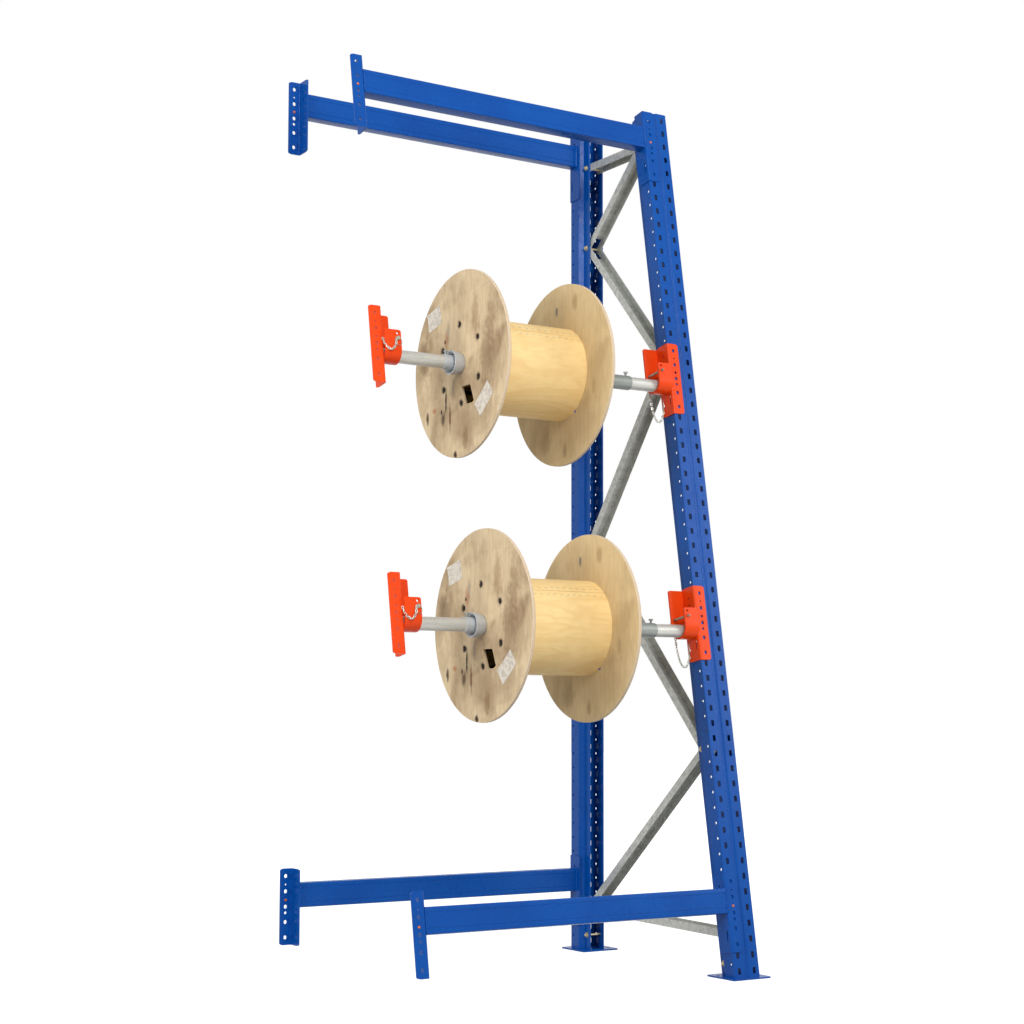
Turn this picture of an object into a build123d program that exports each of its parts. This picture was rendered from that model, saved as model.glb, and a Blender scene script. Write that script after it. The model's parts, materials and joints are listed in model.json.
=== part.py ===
# Cable reel storage rack: the add-on bay of a run of racking.
# One A-shaped side frame stands at the right. Two pairs of box beams reach left from it and end
# in free hooked connectors, which hang on the side frame of the next bay. Two tube axles lie in
# hooked cradles and carry a plywood cable reel each, centred by a cone at either side.
# All lengths are millimetres. X runs along the bay, Y from front to rear, Z up from the floor.
from build123d import *
from math import cos, radians, sin, tan
import os

os.makedirs("parts", exist_ok=True)

# Small holes and rods are six-sided, and bores and tight bends have few sides too
small_sides = 6
bore_sides = 16
bend_sides = 24

# Uprights: a roll-formed channel with two rows of slots in its face
upright_length = 3000
upright_width = 100
upright_sheet = 2.5
upright_bend = 4
side_wall_depth = 50
shoulder_depth = 8
rear_wall_depth = 34
throat_width = 62
lip_length = 5
groove_width = 18
groove_floor = 8
groove_depth = 4
slot_width = 12
slot_height = 20
slot_pitch = 50
slot_end = 25
slot_columns = 60
slot_count = int((upright_length - 2 * slot_end) / slot_pitch) + 1

# Side frame: the front upright leans back, the rear one stands straight
frame_depth = 960
front_lean = 9.6
bay_clear = 1100

# Feet
foot_width = 150
foot_depth = 145
foot_thickness = 5
foot_corner = 4
anchor_spacing = 120
anchor_hole = 14
shoe_sheet = 4
shoe_depth = 26
shoe_height = 90
shoe_clearance = 0.3
foot_bolt_height = 55

# Bracing: channels of two widths, so that the ends of one lap inside the ends of the next
brace_wide = 50
brace_sheet = 1.5
brace_lap = 0.5
brace_deep = 27
ear_length = 40
ear_chamfer = 8
bolt_d = 8
bolt_hole = 9
bolt_head_flats = 13
bolt_head_height = 5.3
brace_slots_front = (3, 15, 42, slot_count - 2)
brace_slots_rear = (3, 29, 51, slot_count - 3)

# Hooked connectors of the beams, and hangers of the cradles, of the same pressing
connector_length = 250
connector_sheet = 4
connector_bend = 4
connector_front = 40
connector_side = 64
connector_above_slot = 10
hook_count = 5
hook_end = 25
hook_width = 9
hook_thickness = 4
hook_drop = 14
hook_gap = 0.3
hook_window = 11
clip_below_top = 103
side_slot_length = 34
side_slot_width = 7
side_slot_below_top = 196
clip_width = 9
clip_height = 14
clip_thickness = 3

# Beams
beam_height = 80
beam_depth = 45
beam_wall = 2
beam_corner = 2
beam_below_connector = 46
beam_line_width = 5
beam_line_depth = 1
beam_line_inset = 17
lower_beam_slot = 6
upper_beam_slot = slot_count - 1

# Cradles
lower_axle_slot = 25
upper_axle_slot = 42
cradle_plate = 6
cradle_length = 56
cradle_radius = 35
cradle_proud = 13
cradle_corner = 7
cradle_below_hanger = 150
cradle_front_rise = 72
cradle_rear_rise = 145
pin_hole = 9
pin_inset = 12
pin_rise = 44

# Safety pins and their keeper chains
pin_d = 8
pin_tail = 12
pin_collar_d = 14
pin_collar_length = 6
pin_ring_radius = 20
pin_ring_wire = 3.2
pin_ring_sides = 8
chain_wire = 4
chain_sag = 16

# Axles and cones
axle_d = 42.4
axle_wall = 3.2
axle_end_gap = 2
seat_gap = 0.3
cone_base = 78
cone_tip = 50
cone_length = 62
cone_fit = 0.1
collar_d = 48.3
left_collar_length = 26
right_collar_length = 218
cone_screw_d = 8
cone_screw_length = 16
cone_screw_flats = 13
cone_screw_inset = 12

# Reels
reel_width = 392
reel_from_right_cradle = 359
flange_d = 600
flange_thickness = 10
reel_bore = 60
barrel_d = 303
barrel_wall = 8
tie_circle = 256
tie_count = 6
tie_rod_flats = 17.6
tie_hole = 18
tie_recess_depth = 5
tie_first_angle = 27
cable_slot_long = 84
cable_slot_high = 60
cable_slot_skew = 26
cable_slot_y = -46
cable_slot_z = -104

# Places that follow from the sizes above
upright_depth = side_wall_depth + shoulder_depth + rear_wall_depth
bolt_depth = side_wall_depth + shoulder_depth + rear_wall_depth / 2
brace_narrow = brace_wide - 2 * brace_sheet - 2 * brace_lap
lean_cos = cos(radians(front_lean))
lean_sin = sin(radians(front_lean))
column_offset = slot_columns / 2
cradle_behind_face = cradle_radius + cradle_plate - cradle_proud - connector_sheet
cradle_rise = cradle_radius - axle_d / 2 - seat_gap

# The origin is the middle of the floor under the whole object, so the frame stands right of it
# and the front foot behind it by half of what lies left of, and behind, the foot's own corner.
left_reach = upright_width / 2 + bay_clear + connector_front
right_reach = foot_width / 2
frame_x = (left_reach - right_reach) / 2


def slot_place(number):
    """Distance of the middle of a slot from the upright's lower end; slots count from 0."""
    return slot_end + slot_pitch * number


def axle_along(number):
    """Distance of an axle from the lower end of the front upright, for the hanger's top slot."""
    return slot_place(number) + connector_above_slot - cradle_below_hanger


lower_reach = flange_d / 2 - axle_along(lower_axle_slot) * lean_sin - cradle_behind_face * lean_cos
rear_reach = frame_depth - upright_depth / 2 + foot_depth / 2
front_y = (lower_reach - rear_reach) / 2
rear_y = front_y + frame_depth

# Faces of the uprights: X across, Y up along the upright, Z out of the perforated face
front_face = Plane((frame_x, front_y, 0), x_dir=(1, 0, 0), z_dir=(0, -lean_cos, lean_sin))
rear_face = Plane((frame_x, rear_y, 0), x_dir=(-1, 0, 0), z_dir=(0, 1, 0))


def point_on(face, across, up, behind):
    """Point at a distance across and up a face, and behind it."""
    return face.from_local_coords(Vector(across, up, -behind))


def cross_plane(face, up):
    """Plane square to an upright: X across, Y behind the face."""
    return Plane(point_on(face, 0, up, 0), x_dir=face.x_dir, z_dir=face.y_dir)


def side_plane(face, across, up, behind):
    """Plane along an upright's side: X behind the face, Y up."""
    back = face.z_dir * -1
    return Plane(point_on(face, across, up, behind), x_dir=back, z_dir=back.cross(face.y_dir))


def upright_half(side):
    """Corners of half of an upright's section, from the groove to the lip."""
    half = upright_width / 2
    throat = throat_width / 2
    shoulder = side_wall_depth + shoulder_depth
    return [
        (side * groove_floor / 2, groove_depth),
        (side * groove_width / 2, 0),
        (side * half, 0),
        (side * half, side_wall_depth),
        (side * throat, shoulder),
        (side * throat, upright_depth),
        (side * (throat - lip_length), upright_depth),
    ]


def make_upright(face):
    """An upright: the bent sheet, its two columns of slots and the holes for the brace bolts."""
    outline = list(reversed(upright_half(-1))) + upright_half(1)
    bends = []
    for across, behind in outline[1:-1]:
        at_front_corner = behind == 0 and abs(across) > groove_width
        bends.append(upright_bend if at_front_corner else 0)
    overrun = upright_depth * tan(radians(front_lean))
    with BuildPart() as upright:
        with BuildSketch(cross_plane(face, -overrun)):
            with BuildLine():
                FilletPolyline(*outline, radius=bends)
                offset(amount=upright_sheet, side=Side.LEFT, kind=Kind.INTERSECTION)
            make_face()
        extrude(amount=upright_length + overrun)
        split(bisect_by=Plane.XY.offset(foot_thickness), keep=Keep.TOP)
        with BuildSketch(face.offset(upright_sheet)):
            with Locations((0, upright_length / 2)):
                with GridLocations(slot_columns, slot_pitch, 2, slot_count):
                    Rectangle(slot_width, slot_height)
        extrude(amount=-3 * upright_sheet, mode=Mode.SUBTRACT)
    return upright


def drill_upright(upright, face, places):
    """Holes through both rear walls of an upright, for bolts at the given distances up it."""
    with BuildPart() as drilled:
        add(upright.part)
        for place in places:
            with BuildSketch(side_plane(face, 0, place, bolt_depth)):
                RegularPolygon(bolt_hole / 2, small_sides, major_radius=False)
            extrude(amount=upright_width / 2, both=True, mode=Mode.SUBTRACT)
    return drilled


def save(builder, name):
    """Label a finished piece and write it."""
    builder.part.label = name
    export_step(builder.part, f"parts/{name}.step")


# Side frame
faces = {"front": front_face, "rear": rear_face}
brace_slots = {"front": brace_slots_front, "rear": brace_slots_rear}


def between_slots(number):
    """Height along the upright of the bolt place above a slot."""
    return slot_place(number) - slot_pitch / 2


brace_places = {post: [between_slots(n) for n in brace_slots[post]] for post in faces}

for post, face in faces.items():
    bare = make_upright(face)
    upright = drill_upright(bare, face, brace_places[post] + [foot_bolt_height])
    save(upright, f"{post}_upright")


# Feet: a plate on the floor with a shoe that stands inside the upright, between its rear walls
face_y = {"front": front_y, "rear": rear_y}
behind_way = {"front": 1, "rear": -1}


def foot_middle(post):
    """Middle of a foot, under the middle of its upright's section."""
    return face_y[post] + behind_way[post] * upright_depth / 2


shoe_width = throat_width - 2 * upright_sheet - 2 * shoe_clearance
for post, face in faces.items():
    middle = Plane((frame_x, foot_middle(post), 0), x_dir=(1, 0, 0), z_dir=(0, 0, 1))
    with BuildPart() as footplate:
        with BuildSketch(middle):
            Rectangle(foot_width, foot_depth)
            chamfer(vertices(), foot_corner)
            with Locations((0, behind_way[post] * (bolt_depth - upright_depth / 2))):
                with GridLocations(anchor_spacing, 1, 2, 1):
                    Circle(anchor_hole / 2, mode=Mode.SUBTRACT)
        extrude(amount=foot_thickness)
        with BuildSketch(cross_plane(face, -upright_depth * tan(radians(front_lean)))):
            with Locations((0, bolt_depth)):
                Rectangle(shoe_width, shoe_depth)
                Rectangle(shoe_width - 2 * shoe_sheet, shoe_depth, mode=Mode.SUBTRACT)
        extrude(amount=shoe_height + upright_depth * tan(radians(front_lean)))
        split(bisect_by=Plane.XY, keep=Keep.TOP)
        with BuildSketch(side_plane(face, 0, foot_bolt_height, bolt_depth)):
            RegularPolygon(bolt_hole / 2, small_sides, major_radius=False)
        extrude(amount=upright_width / 2, both=True, mode=Mode.SUBTRACT)
    save(footplate, f"{post}_footplate")


def make_bolt(face, up):
    """A hexagon bolt across the rear walls of an upright, with its nut at the far side."""
    half = throat_width / 2
    with BuildPart() as bolt:
        with BuildSketch(side_plane(face, -half - bolt_head_height, up, bolt_depth)):
            RegularPolygon(bolt_head_flats / 2, small_sides, major_radius=False)
        extrude(amount=bolt_head_height)
        with BuildSketch(side_plane(face, -half, up, bolt_depth)):
            RegularPolygon(bolt_d / 2, small_sides)
        extrude(amount=throat_width)
        with BuildSketch(side_plane(face, half, up, bolt_depth)):
            RegularPolygon(bolt_head_flats / 2, small_sides, major_radius=False)
        extrude(amount=bolt_head_height)
    return bolt


with BuildPart() as foot_bolts:
    for face in faces.values():
        add(make_bolt(face, foot_bolt_height).part)
save(foot_bolts, "foot_bolts")

with BuildPart() as brace_bolts:
    for post, face in faces.items():
        for place in brace_places[post]:
            add(make_bolt(face, place).part)
save(brace_bolts, "brace_bolts")


# Bracing between the two uprights
def brace_node(post, number):
    """Middle of a brace bolt."""
    return point_on(faces[post], 0, brace_places[post][number], bolt_depth)


def make_brace(start, end, width, web_side):
    """A channel from bolt to bolt; its web stops short of the bolts and leaves two lapping ears."""
    span = end - start
    plane = Plane((start + end) * 0.5, x_dir=span, z_dir=(1, 0, 0))
    with BuildPart() as brace:
        with BuildSketch(plane):
            Rectangle(span.length + brace_deep, brace_deep)
            chamfer(vertices(), ear_chamfer)
        extrude(amount=width / 2, both=True)
        with BuildSketch(plane):
            with Locations((0, -web_side * brace_sheet)):
                Rectangle(span.length - 2 * ear_length, brace_deep)
            Rectangle(span.length + 2 * brace_deep, brace_deep - 4 * brace_sheet)
            for end_side in (-1, 1):
                with Locations((end_side * span.length / 2, 0)):
                    Rectangle(2 * ear_length, 2 * brace_deep)
        extrude(amount=width / 2 - brace_sheet, both=True, mode=Mode.SUBTRACT)
        with BuildSketch(plane):
            with Locations((-span.length / 2, 0), (span.length / 2, 0)):
                RegularPolygon(bolt_hole / 2, small_sides, major_radius=False)
        extrude(amount=width / 2, both=True, mode=Mode.SUBTRACT)
    return brace


braces = {
    "bottom_brace": (("rear", 0), ("front", 0), brace_wide, 1),
    "diagonal_brace_5": (("front", 1), ("rear", 0), brace_narrow, 1),
    "diagonal_brace_4": (("rear", 1), ("front", 1), brace_wide, 1),
    "diagonal_brace_3": (("front", 2), ("rear", 1), brace_narrow, 1),
    "diagonal_brace_2": (("rear", 2), ("front", 2), brace_wide, 1),
    "diagonal_brace_1": (("front", 3), ("rear", 2), brace_narrow, 1),
    "top_brace": (("rear", 3), ("front", 3), brace_wide, -1),
}
for name, (first, second, width, web_side) in braces.items():
    brace = make_brace(brace_node(*first), brace_node(*second), width, web_side)
    save(brace, name)


# Hooked pressings: toward is the way across the face from the bay to the upright
def hook_seats(toward):
    """Places of the hooks along a pressing, down from its top."""
    across = toward * (upright_width / 2 - column_offset)
    return [(across, -hook_end - slot_pitch * number) for number in range(hook_count)]


def make_pressing(face, seat, toward, top):
    """An angle with hooks for the slots on its front flange, seated on the side wall at seat."""
    outer = seat - toward * connector_sheet
    with BuildPart() as pressing:
        with BuildSketch(cross_plane(face, top - connector_length)):
            with BuildLine():
                Polyline(
                    (seat + toward * connector_front, -connector_sheet),
                    (outer + toward * connector_bend, -connector_sheet),
                    (outer, connector_bend - connector_sheet),
                    (outer, connector_side - connector_sheet),
                )
                side = Side.RIGHT if toward > 0 else Side.LEFT
                offset(amount=connector_sheet, side=side, kind=Kind.INTERSECTION)
            make_face()
        extrude(amount=connector_length)
        front = Plane(point_on(face, seat, top, -connector_sheet), x_dir=face.x_dir, z_dir=face.z_dir)
        with BuildSketch(front):
            for across, down in hook_seats(toward):
                with Locations((across, down)):
                    Rectangle(hook_width, hook_window)
        extrude(amount=-2 * connector_sheet, mode=Mode.SUBTRACT)
        with BuildSketch(side_plane(face, seat, top, connector_side / 2 - connector_sheet)):
            with Locations((-connector_side / 4, -side_slot_below_top)):
                Rectangle(side_slot_width, side_slot_length)
        extrude(amount=2 * connector_sheet, both=True, mode=Mode.SUBTRACT)
        for across, down in hook_seats(toward):
            root = down + hook_window / 2
            tongue = upright_sheet + hook_gap
            with BuildSketch(side_plane(face, seat + across, top, 0)):
                with BuildLine():
                    Polyline(
                        (-connector_sheet / 2, root),
                        (-connector_sheet / 2, root + hook_thickness),
                        (tongue + hook_thickness, root + hook_thickness),
                        (tongue + hook_thickness, root - hook_drop),
                        (tongue, root - hook_drop),
                        (tongue, root),
                        close=True,
                    )
                make_face()
            extrude(amount=hook_width / 2, both=True)
    return pressing


def pressing_top(slot):
    """Top of a pressing whose uppermost hook sits in the given slot."""
    return slot_place(slot) + connector_above_slot


bay_sides = {"right": upright_width / 2, "left": upright_width / 2 + bay_clear}
across_sign = {"front": -1, "rear": 1}


def side_seat(post, side):
    """Where a pressing seats across a face, and the way from the bay to its upright."""
    toward = 1 if side == "right" else -1
    return across_sign[post] * bay_sides[side], -across_sign[post] * toward


beam_slots = {"top": upper_beam_slot, "bottom": lower_beam_slot}
for post, face in faces.items():
    for level, slot in beam_slots.items():
        for side in bay_sides:
            seat, toward = side_seat(post, side)
            connector = make_pressing(face, seat, toward, pressing_top(slot))
            save(connector, f"{post}_{level}_{side}_connector")


# Beams: a closed box welded between two connectors, with a rolled line near each edge
beam_length = bay_clear - 2 * connector_sheet
for post, face in faces.items():
    for level, slot in beam_slots.items():
        middle_up = pressing_top(slot) - beam_below_connector - beam_height / 2
        middle_behind = beam_depth / 2 - connector_sheet
        across = across_sign[post] * (bay_sides["right"] + bay_clear / 2)
        with BuildPart() as beam:
            with BuildSketch(side_plane(face, across, middle_up, middle_behind)):
                Rectangle(beam_depth, beam_height)
                chamfer(vertices(), beam_corner)
                with GridLocations(beam_depth, beam_height - 2 * beam_line_inset, 2, 2):
                    Rectangle(2 * beam_line_depth, beam_line_width, mode=Mode.SUBTRACT)
                inner_depth = beam_depth - 2 * beam_wall - 2 * beam_line_depth
                Rectangle(inner_depth, beam_height - 2 * beam_wall, mode=Mode.SUBTRACT)
            extrude(amount=beam_length / 2, both=True)
        save(beam, f"{post}_{level}_beam")

# Safety clips in the connectors, one in each
with BuildPart() as beam_safety_clips:
    for post, face in faces.items():
        for slot in beam_slots.values():
            for side in bay_sides:
                seat, toward = side_seat(post, side)
                across = seat + toward * (upright_width / 2 - column_offset)
                up = pressing_top(slot) - clip_below_top
                head = Plane(point_on(face, across, up, -connector_sheet), x_dir=face.x_dir, z_dir=face.z_dir)
                with BuildSketch(head):
                    Rectangle(clip_width, clip_height)
                extrude(amount=clip_thickness)
save(beam_safety_clips, "beam_safety_clips")


# Cradles: a U of plate on a hooked hanger; the rear wall stands higher than the front one
def make_cradle(seat, toward, along):
    """The U of a cradle, on the bay side of its hanger."""
    inner = cradle_radius
    outer = cradle_radius + cradle_plate
    front_top = cradle_front_rise - cradle_rise
    rear_top = cradle_rear_rise - cradle_rise
    start = seat - toward * connector_sheet
    bay_way = -toward * cradle_length
    middle = start + bay_way / 2
    with BuildPart() as cradle:
        with BuildSketch(side_plane(front_face, middle, along + cradle_rise, cradle_behind_face)):
            half_turn = 180 / bend_sides
            RegularPolygon(outer, bend_sides, major_radius=False, rotation=half_turn)
            with Locations((0, rear_top / 2)):
                Rectangle(2 * outer, rear_top)
            RegularPolygon(inner, bend_sides, major_radius=False, rotation=half_turn, mode=Mode.SUBTRACT)
            with Locations((0, rear_top / 2)):
                Rectangle(2 * inner, rear_top, mode=Mode.SUBTRACT)
            with Locations((-outer, (front_top + rear_top) / 2)):
                Rectangle(2 * outer, rear_top - front_top, mode=Mode.SUBTRACT)
        extrude(amount=cradle_length / 2, both=True)
        bay_edge = Vector(-toward, 0, 0)
        corners = cradle.edges().filter_by(Axis(front_face.origin, front_face.z_dir))
        tall = [edge for edge in corners if edge.length < 1.2 * cradle_plate]
        by_bay = sorted(tall, key=lambda edge: edge.center().dot(bay_edge))
        chamfer(by_bay[-2:], cradle_corner)
        hole_across = start + bay_way + toward * pin_inset
        hole_up = along + pin_rise
        hole_middle = point_on(front_face, hole_across, hole_up, cradle_behind_face)
        with BuildSketch(Plane(hole_middle, x_dir=(1, 0, 0), z_dir=front_face.z_dir)):
            RegularPolygon(pin_hole / 2, small_sides, major_radius=False)
        extrude(amount=2 * outer, both=True, mode=Mode.SUBTRACT)
    return cradle


def pin_across(seat, toward):
    """Place of a safety pin across the front face."""
    return seat - toward * (connector_sheet + cradle_length - pin_inset)


def make_pin(across, along, way):
    """A safety pin through both cradle walls; its collar and spring ring lie at the way's end."""
    outer = cradle_radius + cradle_plate
    seat_behind = cradle_behind_face - way * (outer + seat_gap)
    seat_middle = point_on(front_face, across, along + pin_rise, seat_behind)
    with BuildPart() as pin:
        collar_back = Plane(seat_middle, x_dir=(1, 0, 0), z_dir=front_face.z_dir * way)
        with BuildSketch(collar_back):
            RegularPolygon(pin_d / 2, small_sides)
        extrude(amount=-(seat_gap + 2 * outer + pin_tail))
        with BuildSketch(collar_back):
            RegularPolygon(pin_collar_d / 2, small_sides)
        extrude(amount=pin_collar_length)
        with BuildSketch(collar_back.offset((pin_collar_length - pin_ring_wire) / 2)):
            with Locations((0, -way * pin_ring_radius)):
                RegularPolygon(pin_ring_radius + pin_ring_wire / 2, pin_ring_sides)
                RegularPolygon(pin_ring_radius - pin_ring_wire / 2, pin_ring_sides, mode=Mode.SUBTRACT)
        extrude(amount=pin_ring_wire)
    return pin


# The left pins are put in from the front and the right ones from the rear
axle_slots = {"upper": upper_axle_slot, "lower": lower_axle_slot}
pin_ways = {"left": 1, "right": -1}
for level, slot in axle_slots.items():
    along = axle_along(slot)
    for side in bay_sides:
        seat, toward = side_seat("front", side)
        save(make_pressing(front_face, seat, toward, pressing_top(slot)), f"{level}_{side}_hanger")
        save(make_cradle(seat, toward, along), f"{level}_{side}_cradle")
        save(make_pin(pin_across(seat, toward), along, pin_ways[side]), f"{level}_{side}_safety_pin")

def chain_start(along, way):
    """Where a keeper chain leaves its hanger: place up the face, and place behind it."""
    if way > 0:
        return along + cradle_front_rise + 3 * chain_wire, chain_wire
    below_cradle = along + cradle_rise - cradle_radius - cradle_plate - 3 * chain_wire
    return below_cradle, connector_side - connector_sheet - 3 * chain_wire


# Keeper chains: each runs from the side of a hanger to the collar of its safety pin. A front one
# goes over the front wall of the cradle, and a rear one comes from below and behind it. Each
# stays clear of the way its pin is pulled out.
with BuildPart() as keeper_chains:
    for slot in axle_slots.values():
        along = axle_along(slot)
        for side in bay_sides:
            seat, toward = side_seat("front", side)
            way = pin_ways[side]
            flange = seat - toward * connector_sheet
            beside = flange - toward * 2 * chain_wire
            start_up, start_behind = chain_start(along, way)
            pin_up = along + pin_rise
            collar_reach = cradle_radius + cradle_plate + seat_gap + pin_collar_length / 2
            at_collar = cradle_behind_face - way * collar_reach
            collar_gap = pin_collar_d / 2 + chain_wire / 2 + seat_gap
            collar_side = pin_across(seat, toward) + toward * collar_gap
            hang = [
                point_on(front_face, flange, start_up, start_behind),
                point_on(front_face, beside, start_up, start_behind),
                point_on(front_face, beside, start_up, at_collar),
                point_on(front_face, beside, pin_up - chain_sag, at_collar),
                point_on(front_face, collar_side, pin_up + chain_wire / 2, at_collar),
            ]
            with BuildLine():
                route = Polyline(*hang)
            with BuildSketch(Plane(route @ 0, z_dir=route % 0)):
                Rectangle(chain_wire / 2, chain_wire / 2)
            sweep(transition=Transition.RIGHT)
save(keeper_chains, "keeper_chains")


# Reels
def across_to_x(across):
    """X of a place across the front face."""
    return frame_x + across


right_cradle_inner = -(upright_width / 2 + connector_sheet + cradle_length)
right_flange_outer = right_cradle_inner - reel_from_right_cradle
left_flange_outer = right_flange_outer - reel_width
axle_start = -(upright_width / 2 + bay_clear - connector_sheet - axle_end_gap)
axle_length = bay_clear - 2 * connector_sheet - 2 * axle_end_gap


def make_flange(centre, outer_across, inward):
    """A reel flange with its bore, recessed tie holes and skewed cable slot."""
    outer_face = Plane((across_to_x(outer_across), centre.Y, centre.Z), x_dir=(0, 1, 0), z_dir=(1, 0, 0))
    with BuildPart() as flange:
        with BuildSketch(outer_face):
            Circle(flange_d / 2)
            RegularPolygon(reel_bore / 2, bore_sides, major_radius=False, mode=Mode.SUBTRACT)
            with PolarLocations(tie_circle / 2, tie_count, start_angle=tie_first_angle):
                RegularPolygon(tie_hole / 2, small_sides, major_radius=False, mode=Mode.SUBTRACT)
            with BuildLine():
                low = cable_slot_z - cable_slot_high / 2
                high = cable_slot_z + cable_slot_high / 2
                left = cable_slot_y - cable_slot_long / 2
                right = cable_slot_y + cable_slot_long / 2
                Polyline(
                    (left, low),
                    (right - cable_slot_skew, low),
                    (right, high),
                    (left + cable_slot_skew, high),
                    close=True,
                )
            make_face(mode=Mode.SUBTRACT)
        extrude(amount=inward * flange_thickness)
    return flange


def make_cone(centre, face_across, outward, collar_length):
    """A centring cone in a flange's bore, with its clamping collar on the axle."""
    seat_in = (reel_bore - cone_tip) / (cone_base - cone_tip) * cone_length
    tip = across_to_x(face_across) - outward * seat_in
    base = tip + outward * cone_length
    tip_plane = Plane((tip, centre.Y, centre.Z), x_dir=(0, 1, 0), z_dir=(outward, 0, 0))
    with BuildPart() as cone:
        with BuildSketch(tip_plane):
            RegularPolygon(cone_tip / 2, bore_sides, major_radius=False)
        with BuildSketch(tip_plane.offset(cone_length)):
            RegularPolygon(cone_base / 2, bore_sides, major_radius=False)
        loft(ruled=True)
        with BuildSketch(tip_plane.offset(cone_length)):
            RegularPolygon(collar_d / 2, bore_sides, major_radius=False)
        extrude(amount=collar_length)
        with BuildSketch(tip_plane):
            RegularPolygon(axle_d / 2 + cone_fit, bore_sides, major_radius=False)
        extrude(amount=cone_length + collar_length, mode=Mode.SUBTRACT)
        screw_x = base + outward * (collar_length - cone_screw_inset)
        with BuildSketch(Plane((screw_x, centre.Y, centre.Z), x_dir=(1, 0, 0), z_dir=(0, 0, 1))):
            RegularPolygon(cone_screw_d / 2, small_sides, major_radius=False)
        extrude(amount=collar_d, mode=Mode.SUBTRACT)
    return cone, screw_x


def make_cone_screw(centre, screw_x):
    """A hexagon clamping screw in a cone's collar."""
    foot = axle_d / 2 + cone_fit
    with BuildPart() as screw:
        with BuildSketch(Plane((screw_x, centre.Y, centre.Z + foot), x_dir=(1, 0, 0), z_dir=(0, 0, 1))):
            RegularPolygon(cone_screw_d / 2 - cone_fit, small_sides, major_radius=False)
        extrude(amount=cone_screw_length)
        head = centre.Z + foot + cone_screw_length - bolt_head_height
        with BuildSketch(Plane((screw_x, centre.Y, head), x_dir=(1, 0, 0), z_dir=(0, 0, 1))):
            RegularPolygon(cone_screw_flats / 2, small_sides, major_radius=False)
        extrude(amount=bolt_head_height)
    return screw


for level, slot in axle_slots.items():
    centre = point_on(front_face, 0, axle_along(slot), cradle_behind_face)
    axle_end = Plane((across_to_x(axle_start), centre.Y, centre.Z), x_dir=(0, 1, 0), z_dir=(1, 0, 0))
    with BuildPart() as axle:
        with BuildSketch(axle_end):
            Circle(axle_d / 2)
            RegularPolygon(axle_d / 2 - axle_wall, bore_sides, major_radius=False, mode=Mode.SUBTRACT)
        extrude(amount=axle_length)
    save(axle, f"{level}_axle")

    save(make_flange(centre, left_flange_outer, 1), f"{level}_left_flange")
    save(make_flange(centre, right_flange_outer, -1), f"{level}_right_flange")

    barrel_start = across_to_x(left_flange_outer + flange_thickness)
    barrel_end = Plane((barrel_start, centre.Y, centre.Z), x_dir=(0, 1, 0), z_dir=(1, 0, 0))
    with BuildPart() as barrel:
        with BuildSketch(barrel_end):
            Circle(barrel_d / 2)
            RegularPolygon(barrel_d / 2 - barrel_wall, bore_sides, major_radius=False, mode=Mode.SUBTRACT)
        extrude(amount=reel_width - 2 * flange_thickness)
    save(barrel, f"{level}_barrel")

    rod_x = across_to_x(left_flange_outer + tie_recess_depth)
    rod_start = Plane((rod_x, centre.Y, centre.Z), x_dir=(0, 1, 0), z_dir=(1, 0, 0))
    with BuildPart() as tie_bolts:
        with BuildSketch(rod_start):
            with PolarLocations(tie_circle / 2, tie_count, start_angle=tie_first_angle):
                RegularPolygon(tie_rod_flats / 2, small_sides, major_radius=False)
        extrude(amount=reel_width - 2 * tie_recess_depth)
    save(tie_bolts, f"{level}_tie_bolts")

    cones = {
        "left": (left_flange_outer, -1, left_collar_length),
        "right": (right_flange_outer, 1, right_collar_length),
    }
    for side, (face_across, outward, collar_length) in cones.items():
        cone, screw_x = make_cone(centre, face_across, outward, collar_length)
        save(cone, f"{level}_{side}_cone")
        save(make_cone_screw(centre, screw_x), f"{level}_{side}_cone_screw")
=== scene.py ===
"""Cable reel storage rack: the look of its side frame, beams, cradles, axles and reels.

Lengths are metres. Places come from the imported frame, and every class makes one sub-assembly
around it: perforated uprights, braces and bolts, feet, hooked beams, cradles and their safety
pins, axles with centring cones, and plywood reels. Each finish is a class of its own.
"""
import json
import logging
import math
import random
from dataclasses import dataclass, field
from enum import Enum
from typing import Any, Iterable, Optional, Sequence

import bmesh
import bpy
from mathutils import Matrix, Vector

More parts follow.
